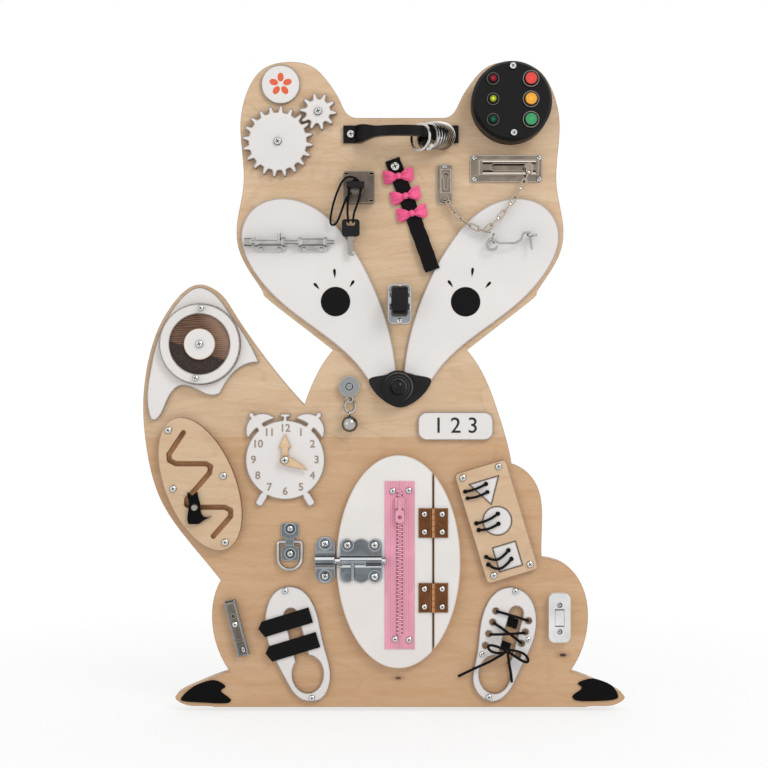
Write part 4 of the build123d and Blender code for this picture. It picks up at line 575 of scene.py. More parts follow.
class BUSYBOARD_OT_wood(bpy.types.Operator):
    """Plywood board, maze plate, shapes board and clock hands"""

    bl_idname = "busyboard.wood"
    bl_label = "Wood"

    def execute(self, context):
        look = context.scene.board_look
        pale, deep = tuple(look.wood_pale), tuple(look.wood_deep)
        # two knots: place across and up, radius, colour
        knots = ((162.8, 51.9, 2.0, srgb(48, 26, 16)), (-1.7, 29.0, 1.8, srgb(96, 54, 30)))
        dress(plywood("board_wood", pale, deep, 13, 18.0, 0.0, 270.0, CUT, knots), "back_board")
        dress(plywood("maze_wood", PALE_PLY, DEEP_PLY, 5, 8.0, FRONT, cut=BURNT), "maze_plate")
        dress(plywood("shapes_wood", PALE_PLY, DEEP_PLY, 5, 6.0, FRONT, cut=BURNT), "shapes_plate")
        self.groove_floor()
        hands = plywood("hand_wood", srgb(231, 202, 166), srgb(209, 174, 134), 3, 2.5, PLATE_FRONT)
        dress(hands, "hour_hand", "minute_hand")
        return {"FINISHED"}

    def groove_floor(self):
        """Browner wood at the bottom of the maze's groove: partly scorch, partly painted shade in the groove.
        """
        form = bmesh.new()
        for k, ((x0, z0), (x1, z1)) in enumerate(zip(MAZE_ROUTE, MAZE_ROUTE[1:])):
            heading = math.degrees(math.atan2(z1 - z0, x1 - x0))
            outline = [
                turned(GROOVE_HALF, 0, start + 30 * n, end)
                for end, start in (((x1, z1), heading - 90), ((x0, z0), heading + 90)) for n in range(7)
            ]
            plate(form, outline, FRONT + 0.02 * (k % 3 + 1), 0.1)
        # browner wood: partly scorch, partly painted shade
        groove_scorch_and_shade = plywood("scorched_and_shaded_wood", srgb(236, 176, 120), srgb(206, 142, 88), 3, 4.0, FRONT, cut=BURNT)
        from_bmesh("groove_floor", form, "board", groove_scorch_and_shade)


NOSE_LOW, NOSE_HIGH, NOSE_HALF = 299.38, 334.62, 31.12      # mm


class BUSYBOARD_OT_paint(bpy.types.Operator):
    """White and black lacquered plates"""

    bl_idname = "busyboard.paint"
    bl_label = "Painted plates"

    def execute(self, context):
        white = tuple(context.scene.board_look.white)
        dress(
            lacquer("white_lacquer", white, scorch_and_shade_rim=0.9), "white_plates", "big_gear", "small_gear", "clock_face",
            "shape_triangle", "shape_circle", "shape_square", "tail_plates",
        )
        dress(lacquer("face_lacquer", white, scorch_and_shade_rim=0.6), "face_plates")
        door = lacquer("white_door", srgb(229, 225, 221), srgb(176, 154, 128), scorch_and_shade_rim=0.5)
        dress(door, "door_panel", "side_panel")
        self.nose()
        return {"FINISHED"}

    def nose(self):
        """Black lacquer over the front and the sides of the nose plate."""
        form = bmesh.new()
        wide, low, high = NOSE_HALF, NOSE_LOW, NOSE_HIGH
        line = rounded([
            (-wide, high - 7.5), (-0.45 * wide, high - 2.5), (0, high), (0.45 * wide, high - 2.5),
            (wide, high - 7.5), (0.66 * wide, low + 10.4), (0, low), (-0.66 * wide, low + 10.4),
        ], 6)
        plate(form, line, FRONT + 0.05, 4.1)
        black = lacquer("nose_black", srgb(14, 13, 13), srgb(20, 18, 17), 0.3, 0.25)
        from_bmesh("nose_paint", form, "board", black)


TRACK_LEFT, TRACK_RIGHT, TRACK_Z = 82, 135, 538.5      # slot of the chain's track, mm


def in_track(x, out, z, low, high):
    """Inside the chain's track plate, between two distances from its middle line."""
    return between(x, TRACK_LEFT, TRACK_RIGHT) * (out > 19.6) * between(abs(z - TRACK_Z), low, high)


# parts of a fitting with a colour of their own, and lines of painted shade and painted highlight: a mask over
# across, out and up, and the colour
# along the track's slot: painted shade under its lip, a painted highlight on the lip, painted shade on the
# slot's floor; and a darker low part of the plate left of the track
CHAIN_REGIONS = (
    (lambda x, out, z: in_track(x, out, z, 3.0, 5.2), srgb(52, 44, 38)),
    (lambda x, out, z: in_track(x, out, z, 5.2, 6.4), srgb(236, 226, 214)),
    (lambda x, out, z: in_track(x, out, z, -1.0, 3.0) * (out < 25.6), srgb(66, 56, 48)),
    (lambda x, out, z: between(out, 19.6, 23.2) * (x < 60), srgb(70, 60, 52)),
)
# on the latch's channel: two lines of painted highlight, and a line of painted shade between them
LATCH_REGIONS = (
    (lambda x, out, z: between(z, 149.2, 151.6) * (x > -86), srgb(226, 229, 231)),
    (lambda x, out, z: between(z, 140.8, 143.0) * (x > -86), srgb(226, 229, 231)),
    (lambda x, out, z: between(z, 144.4, 146.0) * (x > -86), srgb(52, 54, 56)),
)
# own colours of the caster's plate, the strip and the D-ring plate, then the latch's painted lines
PLATE_REGIONS = (
    (lambda x, out, z: z > 290, srgb(150, 151, 150)),
    (lambda x, out, z: x < -150, srgb(104, 100, 94)),
    (lambda x, out, z: between(x, -150, -95), srgb(113, 119, 121)),
) + LATCH_REGIONS
# a line of painted highlight along the bolt
ROD_REGIONS = ((lambda x, out, z: between(z, 147.5, 149.6), srgb(236, 238, 240)),)
# painted highlight on the parts that stand furthest out
HINGE_REGIONS = ((lambda x, out, z: out > 28.6, srgb(186, 136, 96)),)


def dished(least, left, right, low, high):
    """Places and sizes of the dished seats of the screws within a box whose heads are over a size."""
    return [
        (x, z, dia / 2 + 0.4) for x, z, _, _, dia in ZINC_SCREWS
        if dia > least and left < x < right and low < z < high
    ]


class BUSYBOARD_OT_metal(bpy.types.Operator):
    """Zinc, nickel, bronze and black steel fittings"""

    bl_idname = "busyboard.metal"
    bl_label = "Metal fittings"

    def execute(self, context):
        dress(metal("ring_nickel", srgb(214, 208, 200), 0.14, 0.02, 0.3, edge_highlight=0.5), "key_rings")
        dress(
            metal("bright_nickel", srgb(182, 180, 176), 0.14, 0.03, 0.98, edge_highlight=0.4),
            "screw_eyes", "cabin_hook", "d_ring", "jingle_bell", "bolt_cases", "bolt_rod",
        )
        dress(
            metal("chain_nickel", srgb(172, 158, 142), 0.14, 0.03, 0.98, edge_highlight=0.25),
            "chain_right", "chain_left", "chain_slider",
        )
        plated = metal("plated_chain_plates", srgb(143, 132, 120), 0.15, 0.06, 0.95, CHAIN_REGIONS)
        dress(plated, "chain_plates")
        seats = dished(6, -300, -70, 125, 180)
        plates = metal("zinc_plates", srgb(130, 136, 140), 0.2, 0.08, 0.95, PLATE_REGIONS, seats, 0.6)
        dress(plates, "surface_plates")
        dress(metal("zinc_lever", srgb(116, 110, 100), 0.24, 0.1, 0.9), "strip_lever")
        seats = dished(7.3, -300, 300, 0, 170)
        dress(metal("zinc_latch", srgb(120, 126, 130), 0.18, 0.06, 0.95, LATCH_REGIONS, seats), "latch_case")
        rod = metal("zinc_rod", srgb(150, 154, 158), 0.16, 0.06, 0.95, ROD_REGIONS)
        dress(rod, "latch_bolt", "caster_fork")
        bronze = metal("bronze", srgb(114, 76, 49), 0.26, 0.1, 0.9, HINGE_REGIONS)
        dress(bronze, "fixed_hinge_leaves", "door_hinge_leaves")
        dress(metal("lock_grey", srgb(112, 101, 92), 0.3, 0.15, 0.8), "lock_case")
        dress(moulded("black_coat", srgb(14, 13, 13), 0.3, 0.5, 0.12), "bow_handle")
        dress(self.bell(), "bell_body", "bell_lever")
        return {"FINISHED"}

    def bell(self):
        """Glossy black bell with rings of painted highlight round its dome, on its upper right side."""
        shade = Shade("bell_black", Specular_IOR_Level=0.2, Coat_Weight=0.08, Coat_Roughness=0.05)
        x, _, z = shade.place()
        far = shade.away(*BELL)
        lit = shade.step((x - BELL[0]) + (z - BELL[1]), -10.0, 12.0)
        fine = shade.noise((1, 1, 1), 0.8, 3.0, 0.6)
        colour = shade.mix(shade.step(fine, 0.4, 0.8), srgb(6, 6, 6), srgb(16, 16, 16))
        # rings of painted highlight, only on the side towards the key light
        for low, high, tone in ((7.6, 8.6, 104), (10.4, 11.2, 62), (13.6, 14.6, 88)):
            colour = shade.mix(between(far, low, high) * lit, colour, srgb(tone, tone - 2, tone - 4))
        shade.put("Base Color", colour)
        shade.put("Roughness", 0.1 + fine * 0.1)
        shade.bump(fine, 0.05, 0.0001)
        return shade


def two_tone(name, mask, one, two, gleam=0.2):
    """A plastic piece with metal where the mask says so."""
    shade = Shade(name, Specular_IOR_Level=gleam)
    fine = shade.noise((1, 1, 1), 1.4, 3.0, 0.6)
    part = mask(*shade.place())
    plain = shade.mix(shade.step(fine, 0.4, 0.8), one, times(one, 1.3, 0.003))
    shade.put("Base Color", shade.mix(part, plain, two))
    shade.put("Metallic", part)
    shade.put("Roughness", 0.34 + fine * 0.16 - part * 0.1)
    shade.bump(fine, 0.1, 0.0002)
    return shade


class BUSYBOARD_OT_plastic(bpy.types.Operator):
    """Light box, buttons, switch, wheel, keys and the little cat"""

    bl_idname = "busyboard.plastic"
    bl_label = "Plastic pieces"

    def execute(self, context):
        dress(self.light_box(), "light_box")
        for node, colour in (
            ("button_red", srgb(226, 48, 40)), ("button_amber", srgb(244, 166, 20)),
            ("button_green", srgb(20, 150, 84)),
        ):
            dress(self.cap(node + "_cap", colour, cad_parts[node]), node)
        switch = moulded("switch_white", srgb(208, 209, 209), 0.3, 0.2, Coat_Weight=0.2)
        dress(switch, "switch_case", "switch_rocker")
        dress(moulded("wheel_black", srgb(14, 14, 15), 0.28, 0.6, 0.2), "caster_wheel")
        steel, black = srgb(158, 154, 148), srgb(16, 16, 17)
        dress(two_tone("key_in_lock", lambda x, out, z: out < 43.0, black, steel), "lock_key")
        dress(two_tone("spare_key_look", lambda x, out, z: z < 469.4, black, steel), "spare_key")
        dress(two_tone("cat_black", lambda x, out, z: out > 30.36, srgb(6, 6, 6), steel, 0.06), "maze_cat")
        return {"FINISHED"}

    def cap(self, name, colour, piece):
        """Clear cap with a moulded ring darkened by painted shade, darker towards its edge, and a painted
        highlight in its middle.
        """
        shade = Shade(name, Coat_Weight=0.5, Coat_Roughness=0.1)
        corners = [piece.matrix_world @ Vector(c) for c in piece.bound_box]
        middle = [sum(c[k] for c in corners) / 8 / MM for k in (0, 2)]
        far = shade.away(*middle)
        ring = between(far, 3.1, 3.7)
        fine = shade.noise((1, 1, 1), 1.2, 2.0, 0.5)
        # darker towards its edge; then painted shade in the moulded ring
        tone = shade.mix(shade.step(far, 4.4, 5.6), colour, times(colour, 0.5))
        tone = shade.mix(ring * 0.7, tone, times(colour, 0.6))
        # painted highlight in the middle
        tone = shade.mix(shade.step(far, 1.6, 0.5) * (0.4 + fine * 0.3), tone, times(colour, 1.7))
        shade.put("Base Color", tone)
        shade.put("Roughness", 0.2 + fine * 0.14)
        shade.bump(ring * -0.6 + fine * 0.2, 0.4, 0.0003)
        return shade

    def light_box(self):
        """Matt black housing with three domed lamps, each with a painted highlight in its middle, and rings
        of painted highlight on the bezels round the lamps and the buttons.
        """
        shade = Shade("light_box_black", Specular_IOR_Level=0.15)
        out = shade.place()[1]
        domed, raised = out > 47.6, out > 46.4
        fine = shade.noise((1, 1, 1), 1.8, 3.0, 0.6)
        colour = shade.mix(shade.step(fine, 0.35, 0.8), srgb(13, 13, 13), srgb(22, 22, 23))
        lamps = 0.0
        for up, lit in zip(LAMPS_Z, (srgb(120, 22, 34), srgb(150, 160, 40), srgb(12, 74, 52))):
            far = shade.away(LAMP_X, up)
            dome = (far < 3.15) * domed
            colour = shade.mix(dome, colour, lit)
            # painted highlight in the middle of the dome
            colour = shade.mix((far < 1.1) * domed, colour, times(lit, 2.6))
            # a ring of painted highlight on the lamp's bezel
            colour = shade.mix(between(far, 5.5, 6.3) * raised, colour, srgb(112, 108, 102))
            lamps = dome + lamps
        # rings of painted highlight on the buttons' bezels
        for up in LAMPS_Z:
            ring = between(shade.away(BUTTON_X, up), 7.4, 8.2)
            colour = shade.mix(ring * raised, colour, srgb(150, 145, 138))
        shade.put("Base Color", colour)
        shade.put("Roughness", 0.38 + fine * 0.14 - lamps * 0.26)
        shade.bump(fine, 0.14, 0.0002)
        return shade


class BUSYBOARD_OT_disc(bpy.types.Operator):
    """Ribbed and grained texture disc with its white cap"""

    bl_idname = "busyboard.disc"
    bl_label = "Texture disc"

    def execute(self, context):
        shade = Shade("disc_mats")
        x, _, z = shade.place()
        dx, dz = x - DISC[0], z - DISC[1]
        far = shade.away(*DISC)
        sway = shade.noise((0.03, 0.2, 0.05), 1.0, 2.0)
        ribs = ((z + dx * 0.04 + sway * 6) * (2 * math.pi / 1.9)).sin() * 0.5 + 0.5
        streak = shade.noise((0.05, 0.2, 0.9), 1.0, 4.0, 0.6)
        woven = shade.step(ribs * 0.35 + streak * 0.65, 0.32, 0.7)
        ribbed = shade.mix(woven, srgb(58, 38, 29), srgb(132, 99, 78))
        # lighter towards the upper right, on the side of the key light: painted light
        ribbed = shade.mix(shade.step(dx + dz * 0.5, 12.0, 26.0) * 0.5, ribbed, srgb(176, 142, 118))
        grains = shade.noise((1, 1, 1), 1.3, 2.0, 0.7)
        grained = shade.mix(shade.step(grains, 0.5, 0.62), srgb(32, 23, 20), srgb(84, 64, 54))
        lower = shade.step(dz + dx * 0.35, -7.0, -7.6)
        mats = shade.mix(lower, ribbed, grained)
        cap = far < 15.6
        capped = shade.mix(cap, mats, WHITE)
        shade.put("Base Color", shade.mix(between(far, 14.9, 15.6) * 0.8, capped, srgb(176, 140, 104)))
        shade.put("Roughness", 0.82 - cap * 0.42)
        rough = (ribs * (1 - lower) + grains * lower) * (1 - cap)
        shade.bump(rough, 0.8, 0.0005)
        dress(shade, "texture_disc")
        return {"FINISHED"}


# ------------------------------------------------------------------ screws


# place across and up, depth of the seat, body, head diameter
ZINC_SCREWS = (
    (110.6, 635.2, 46.1, "board", 7.0), (111.5, 569.7, 46.1, "board", 7.0),
    (44.7, 539.8, 19.3, "board", 4.8), (74.4, 548.8, 19.3, "board", 5.0), (138.7, 548.8, 19.3, "board", 5.0),
    (74.4, 527.7, 19.3, "board", 5.0), (138.7, 527.7, 19.3, "board", 5.0),
    (-138.6, 457.3, 23.3, "board", 4.4), (-120.4, 457.3, 23.3, "board", 4.4),
    (-95.6, 457.3, 23.3, "board", 4.4), (-78.4, 457.3, 23.3, "board", 4.4),
    (-0.5, 419.6, 19.6, "board", 5.6), (-0.5, 386.0, 19.6, "board", 5.6),
    (-197.6, 398.2, 32.1, "board", 6.4), (-203.0, 328.8, 32.1, "board", 6.4),
    (-230.6, 277.0, 26.1, "board", 6.8), (-175.8, 231.6, 26.1, "board", 6.8),
    (-225.8, 218.8, 26.1, "board", 6.8), (-174.0, 165.5, 26.1, "board", 6.8),
    (-109.7, 178.4, 19.6, "board", 6.2), (-109.7, 153.4, 19.6, "board", 6.2),
    (-74.8, 163.4, 20.2, "board", 7.6), (-74.8, 131.2, 20.2, "board", 7.6),
    (-7.3, 216.7, 27.4, "door", 6.0), (8.6, 217.1, 27.4, "door", 6.0),
    (-5.1, 69.5, 27.4, "door", 6.0), (8.8, 68.8, 27.4, "door", 6.0),
    (-52.25, 162.9, 28.5, "door", 7.4), (-25.25, 162.9, 28.5, "door", 7.4),
    (-25.25, 131.7, 28.5, "door", 7.4),
    (24.2, 193.7, 27.6, "door", 5.6), (41.8, 193.7, 27.6, "board", 5.6),
    (24.2, 175.9, 27.6, "door", 5.6), (41.8, 175.9, 27.6, "board", 5.6),
    (24.2, 119.4, 27.6, "door", 5.6), (41.8, 119.4, 27.6, "board", 5.6),
    (24.2, 101.6, 27.6, "door", 5.6), (41.8, 101.6, 27.6, "board", 5.6),
    (62.5, 229.5, 24.1, "board", 6.6), (98.1, 240.7, 24.1, "board", 6.6),
    (129.4, 143.4, 24.1, "board", 6.6), (93.4, 132.2, 24.1, "board", 6.6),
    (-114.5, 116.6, 22.1, "board", 6.0), (-87.9, 9.9, 22.1, "board", 6.0),
    (115.0, 116.2, 22.1, "board", 6.0), (127.8, 68.2, 22.1, "board", 5.2),
    (81.4, 53.5, 22.1, "board", 5.2), (88.5, 10.7, 22.1, "board", 6.0),
    (158.8, 102.7, 22.1, "board", 4.9), (158.8, 76.3, 22.1, "board", 4.9),
    (-156.4, 57.9, 19.3, "board", 5.8), (-164.4, 83.4, 23.3, "strip_lever", 5.8),
)

# the screws that something turns on
PIVOT_SCREWS = (
    (-121.9, 564.7, 24.6, "board", 8.0), (-81.6, 594.6, 24.6, "board", 8.0),
    (-199.3, 362.7, 29.1, "board", 7.6), (-114.6, 247.3, 27.9, "board", 7.6),
    (-5.0, 540.0, 20.8, "board", 9.4), (-49.1, 572.2, 21.5, "board", 8.4),
    (50.9, 572.2, 21.5, "board", 8.4),
)
# a piece's name, the screws to choose from, and the body that carries its share of them
HEADS = (
    ("pivot_screw_heads", PIVOT_SCREWS, "board"), ("fixing_screws_board", ZINC_SCREWS, "board"),
    ("fixing_screws_door", ZINC_SCREWS, "door"), ("fixing_screws_strip_lever", ZINC_SCREWS, "strip_lever"),
)


def screw_head(form, x, z, seat, dia, turn):
    """A pan head with a cross cut into its crown."""
    r, tall = dia / 2, 0.32 * dia
    crown = r * 0.62
    place = Matrix.Translation(at(x, seat, z)) @ Matrix.Rotation(turn, 4, "Y")
    spun(form, [(r, -0.1), (r, tall * 0.35), (r * 0.86, tall * 0.78), (crown, tall)], 20, place)
    arm, slit, deep = r * 0.52, r * 0.13, tall * 0.55
    corners = ((slit, arm), (-slit, arm), (-slit, slit))
    scorch_and_shade_rim = [turned(dx, dz, 90 * k, (0, 0)) for k in range(4) for dx, dz in corners]
    top = [form.verts.new(place @ at(px, tall, pz)) for px, pz in scorch_and_shade_rim]
    low = [form.verts.new(place @ at(px * 0.55, tall - deep, pz * 0.55)) for px, pz in scorch_and_shade_rim]
    # the cross's sides and floor take the second material, which is painted shade
    for face in skin(form, (top, low)) + [form.faces.new(low)]:
        face.material_index = 1
    start = math.degrees(math.atan2(scorch_and_shade_rim[0][1], scorch_and_shade_rim[0][0]))
    ring = [turned(crown, 0, start + 30 * k, (0, 0)) for k in range(12)]
    skin(form, ([form.verts.new(place @ at(px, tall, pz)) for px, pz in ring], top))


class BUSYBOARD_OT_screws(bpy.types.Operator):
    """Pan-head fixing screws, each with its cross"""

    bl_idname = "busyboard.screws"
    bl_label = "Fixing screws"

    def execute(self, context):
        steel = metal("screw_zinc", srgb(206, 205, 203), 0.18, 0.03, 0.95)
        # dark metal for the cross: painted shade in the recess
        cross = metal("screw_cross_shade", srgb(58, 54, 51), 0.4, 0.1, 0.9)
        turns = random.Random(5)
        for name, screws, body in HEADS:
            form = bmesh.new()
            for x, z, seat, where, dia in screws:
                turn = turns.uniform(0, math.pi / 2)
                if where == body:
                    screw_head(form, x, z, seat, dia, turn)
            bmesh.ops.remove_doubles(form, verts=form.verts, dist=1e-6)
            heads = from_bmesh(name, form, body, steel)
            heads.data.materials.append(cross.material)
            if screws is PIVOT_SCREWS:
                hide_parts("screws")
        return {"FINISHED"}


# ------------------------------------------------------------------ painted face, toes


def lash(form, x, z, length, lean, depth):
    """A short tapered stroke."""
    outline = []
    for k in range(14):
        a = 2 * math.pi * k / 14
        wide = 2.1 * (0.55 + 0.45 * math.sin(a))
        outline.append(turned(wide * math.cos(a), length / 2 * math.sin(a), lean, (x, z)))
    plate(form, outline, depth, 0.25)


LEFT_TOE = (
    (-185.5, 27), (-174.5, 21), (-179, 16), (-169.2, 7.7), (-174, 4), (-196, 4.6), (-217, 6.3), (-217.5, 11),
    (-208.4, 19.2), (-199, 24),
)
RIGHT_TOE = (
    (190.9, 28.6), (177.9, 24.2), (181.7, 18.8), (172.5, 11.2), (177.9, 6.4), (201.8, 6.4), (214.8, 8),
    (218, 11.5), (212.6, 21), (201.8, 26.4),
)


class BUSYBOARD_OT_face(bpy.types.Operator):
    """Black pupils with lashes, and the black toes"""

    bl_idname = "busyboard.face"
    bl_label = "Eyes and toes"

    def execute(self, context):
        black = lacquer("black_paint", srgb(12, 11, 11), srgb(18, 16, 15), 0.42, 0.1)
        form = bmesh.new()
        for x, z, lashes in (
            (-64.3, 405.2, ((-65.2, 433.2, 9.5, 4), (-83.1, 420.5, 8.5, 42), (-48.0, 423.0, 8.0, -32))),
            (65.4, 405.0, ((72.1, 434.4, 9.5, -6), (50.4, 422.9, 8.5, 36), (87.6, 421.7, 8.5, -42))),
        ):
            place = Matrix.Translation(at(x, PLATE_FRONT, z))
            spun(form, [(0, 0.05), (14.7, 0.05), (14.7, 0.3), (0, 0.34)], 48, place)
            for lx, lz, length, lean in lashes:
                lash(form, lx, lz, length, lean, PLATE_FRONT + 0.02)
        from_bmesh("eye_paint", form, "board", black)
        form = bmesh.new()
        for outline in (LEFT_TOE, RIGHT_TOE):
            plate(form, rounded(outline, 4), FRONT, 1.5)
        felt = cloth("toe_felt", srgb(9, 8, 8), 0.7, 0, 1.8, 0.3, 0.0, 0.08)
        from_bmesh("toe_patches", form, "board", felt)
        return {"FINISHED"}


# ------------------------------------------------------------------ clock numbers, name plate and badge


def lettering(name, text, place, size, shade, bold=0.1):
    """Raised plain figures on a painted plate, centred on a place."""
    curve = bpy.data.curves.new(name, "FONT")
    curve.body = text
    curve.size = size * MM
    curve.align_x = "CENTER"
    curve.align_y = "CENTER"
    curve.extrude = 0.06 * MM
    curve.bevel_depth = bold * MM
    shape = bpy.data.objects.new(name + "_line", curve)
    bpy.context.scene.collection.objects.link(shape)
    bpy.context.view_layer.update()
    mesh = bpy.data.meshes.new_from_object(shape)
    bpy.data.objects.remove(shape)
    upright = Matrix.Rotation(math.radians(90), 4, "X")
    mesh.transform(Matrix.Translation(at(place[0], PLATE_FRONT + 0.06, place[1])) @ upright)
    link(bpy.data.objects.new(name, mesh), "board", shade)


class BUSYBOARD_OT_figures(bpy.types.Operator):
    """Grey hour figures on the clock, plain figures on the name plate, and a plain badge"""

    bl_idname = "busyboard.figures"
    bl_label = "Figures"

    def execute(self, context):
        grey = lacquer("engraved_grey", srgb(156, 142, 130), srgb(130, 112, 96), 0.6, 0.2)
        for hour in range(1, 13):
            place = turned(HOUR_RING, 0, 90 - 30 * hour, CLOCK)
            lettering("hour_%02d" % hour, str(hour), place, 10.6, grey, 0.22)
        dark = lacquer("plate_figures", srgb(40, 38, 38), srgb(40, 38, 38), 0.5, 0.2)
        lettering("name_plate_figures", "1 2 3", NAME_PLATE, 22, dark)
        orange = lacquer("badge_orange", srgb(222, 92, 52), srgb(222, 92, 52), 0.5)
        form = bmesh.new()
        oval = [(3.1 * math.cos(t), 4.4 * math.sin(t)) for t in (2 * math.pi * n / 20 for n in range(20))]
        for k in range(5):
            spot = turned(PETAL_RING, 0, 90 + 72 * k, BADGE)
            plate(form, [turned(dx, dz, 72 * k, spot) for dx, dz in oval], BADGE_FRONT, 0.15)
        from_bmesh("badge_motif", form, "board", orange)
        return {"FINISHED"}


# ------------------------------------------------------------------ cords


def tube(name, points, dia, body, shade, replaced, steps=12):
    """A smooth tube along a few points, given in millimetres, in place of a piece of the frame."""
    curve = bpy.data.curves.new(name, "CURVE")
    curve.dimensions = "3D"
    curve.bevel_depth = dia / 2 * MM
    curve.bevel_resolution = 3
    curve.resolution_u = steps
    curve.use_fill_caps = True
    spline = curve.splines.new("NURBS")
    spline.points.add(len(points) - 1)
    for point, (x, y, z) in zip(spline.points, points):
        point.co = (x * MM, y * MM, z * MM, 1.0)
    spline.order_u = 3
    spline.use_endpoint_u = True
    obj = link(bpy.data.objects.new(name, curve), body, shade)
    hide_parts(replaced)
    return obj


def free_cord(name, points, dia, body, shade, replaced, **facts):
    """A cord as a smooth tube in place of a piece of the frame."""
    obj = tube(name, points, dia, body, shade, replaced, 10)
    [v * MM for v in points[0]]


SX, SPARE_DEPTH = -49.0, 28.0       # spare key: across, and depth of its face
HOLE_Z, IN_HOLE = 482.5, 483.6      # height of its hole, and of a cord in the hole
BX, BZ, NECK_DEPTH = -44.0, 517.6, 37.7     # lock barrel and the neck of its key
PAIR = (
    (SX - 2.2, -SPARE_DEPTH, IN_HOLE), (SX - 2.2, -SPARE_DEPTH - 5.2, IN_HOLE),
    (SX - 3.4, -SPARE_DEPTH - 5.6, HOLE_Z + 10), (BX - 7.5, -NECK_DEPTH, BZ - 12),
    (BX - 6.2, -NECK_DEPTH, BZ + 3), (BX - 0.2, -NECK_DEPTH, BZ + 8), (BX + 6.0, -NECK_DEPTH, BZ + 3),
    (BX + 3.6, -NECK_DEPTH, BZ - 12), (SX + 3.2, -SPARE_DEPTH - 5.6, HOLE_Z + 10),
    (SX + 2.2, -SPARE_DEPTH - 5.2, IN_HOLE), (SX + 2.2, -SPARE_DEPTH, IN_HOLE),
)
LD = NECK_DEPTH + 2.7               # depth of the loop where it leaves the neck
LOOP = (
    (BX + 5.4, -LD, BZ - 4.5), (BX + 5.4, -LD, BZ + 3), (BX - 1, -LD, BZ + 9.5), (BX - 11, -LD, BZ + 9.5),
    (BX - 19, -LD + 4, BZ - 6), (BX - 24, -LD + 10, BZ - 22), (BX - 26, -LD + 12, BZ - 36.5),
    (BX - 19.5, -LD + 11.5, BZ - 37), (BX - 13, -LD + 7, BZ - 21), (BX - 9.0, -LD + 1.5, BZ - 9),
    (BX - 4, -LD, BZ - 6.6),
)
# each lace of a loose shape: its two ends, across and up, and how far it sags
SHAPE_CORDS = {
    "triangle": (((64.9, 215.9), (85.4, 223.5), 1.0), ((67.3, 209.2), (86.9, 215.4), 1.0)),
    "circle": (((75.9, 184.3), (97.4, 193.9), 1.5), ((78.3, 177.6), (97.9, 183.8), 1.5)),
    "square": (((85.7, 150.8), (107.9, 157.5), 5.5), ((87.8, 143.2), (110.8, 148.9), 6.5)),
}
# the shoe's lace: its thickness, and its depths on the plate, over itself, and over that
LACE = 2.7
ON = PLATE_FRONT + LACE / 2 + 0.2
OVER = ON + LACE + 0.3
TOP = OVER + LACE + 0.3
LACES = (
    ((95.5, -ON, 96.7), (112, -ON - 1, 92.5), (128.3, -ON, 86.9)),
    ((92.5, -ON, 85.5), (107, -ON - 1, 76.5), (121.3, -ON, 64.4)),
    ((88.5, -OVER, 73.9), (107, -OVER - 1, 74.0), (125, -OVER, 75.7)),
    (
        (104, -TOP, 59), (95, -TOP - 1, 63.5), (87, -TOP, 64), (88, -TOP, 58.5), (98, -TOP, 55),
        (106, -TOP, 57),
    ),
    (
        (104, -TOP - 3.2, 60), (118, -TOP - 3, 59), (127, -TOP, 52), (127, -TOP, 46), (119, -TOP, 49),
        (107, -TOP, 57.5),
    ),
    ((103, -TOP - 2.8, 56.2), (90, -TOP - 1, 48), (74, -TOP + 2, 40.5), (58.1, -FRONT - 3, 31.3)),
    ((106.6, -TOP - 2.8, 56.3), (108, -TOP - 1, 46), (110, -TOP, 36), (111.3, -ON, 26.4)),
)
SHOE = (108.9, 71.0)
SHOE_TILT = -14.6


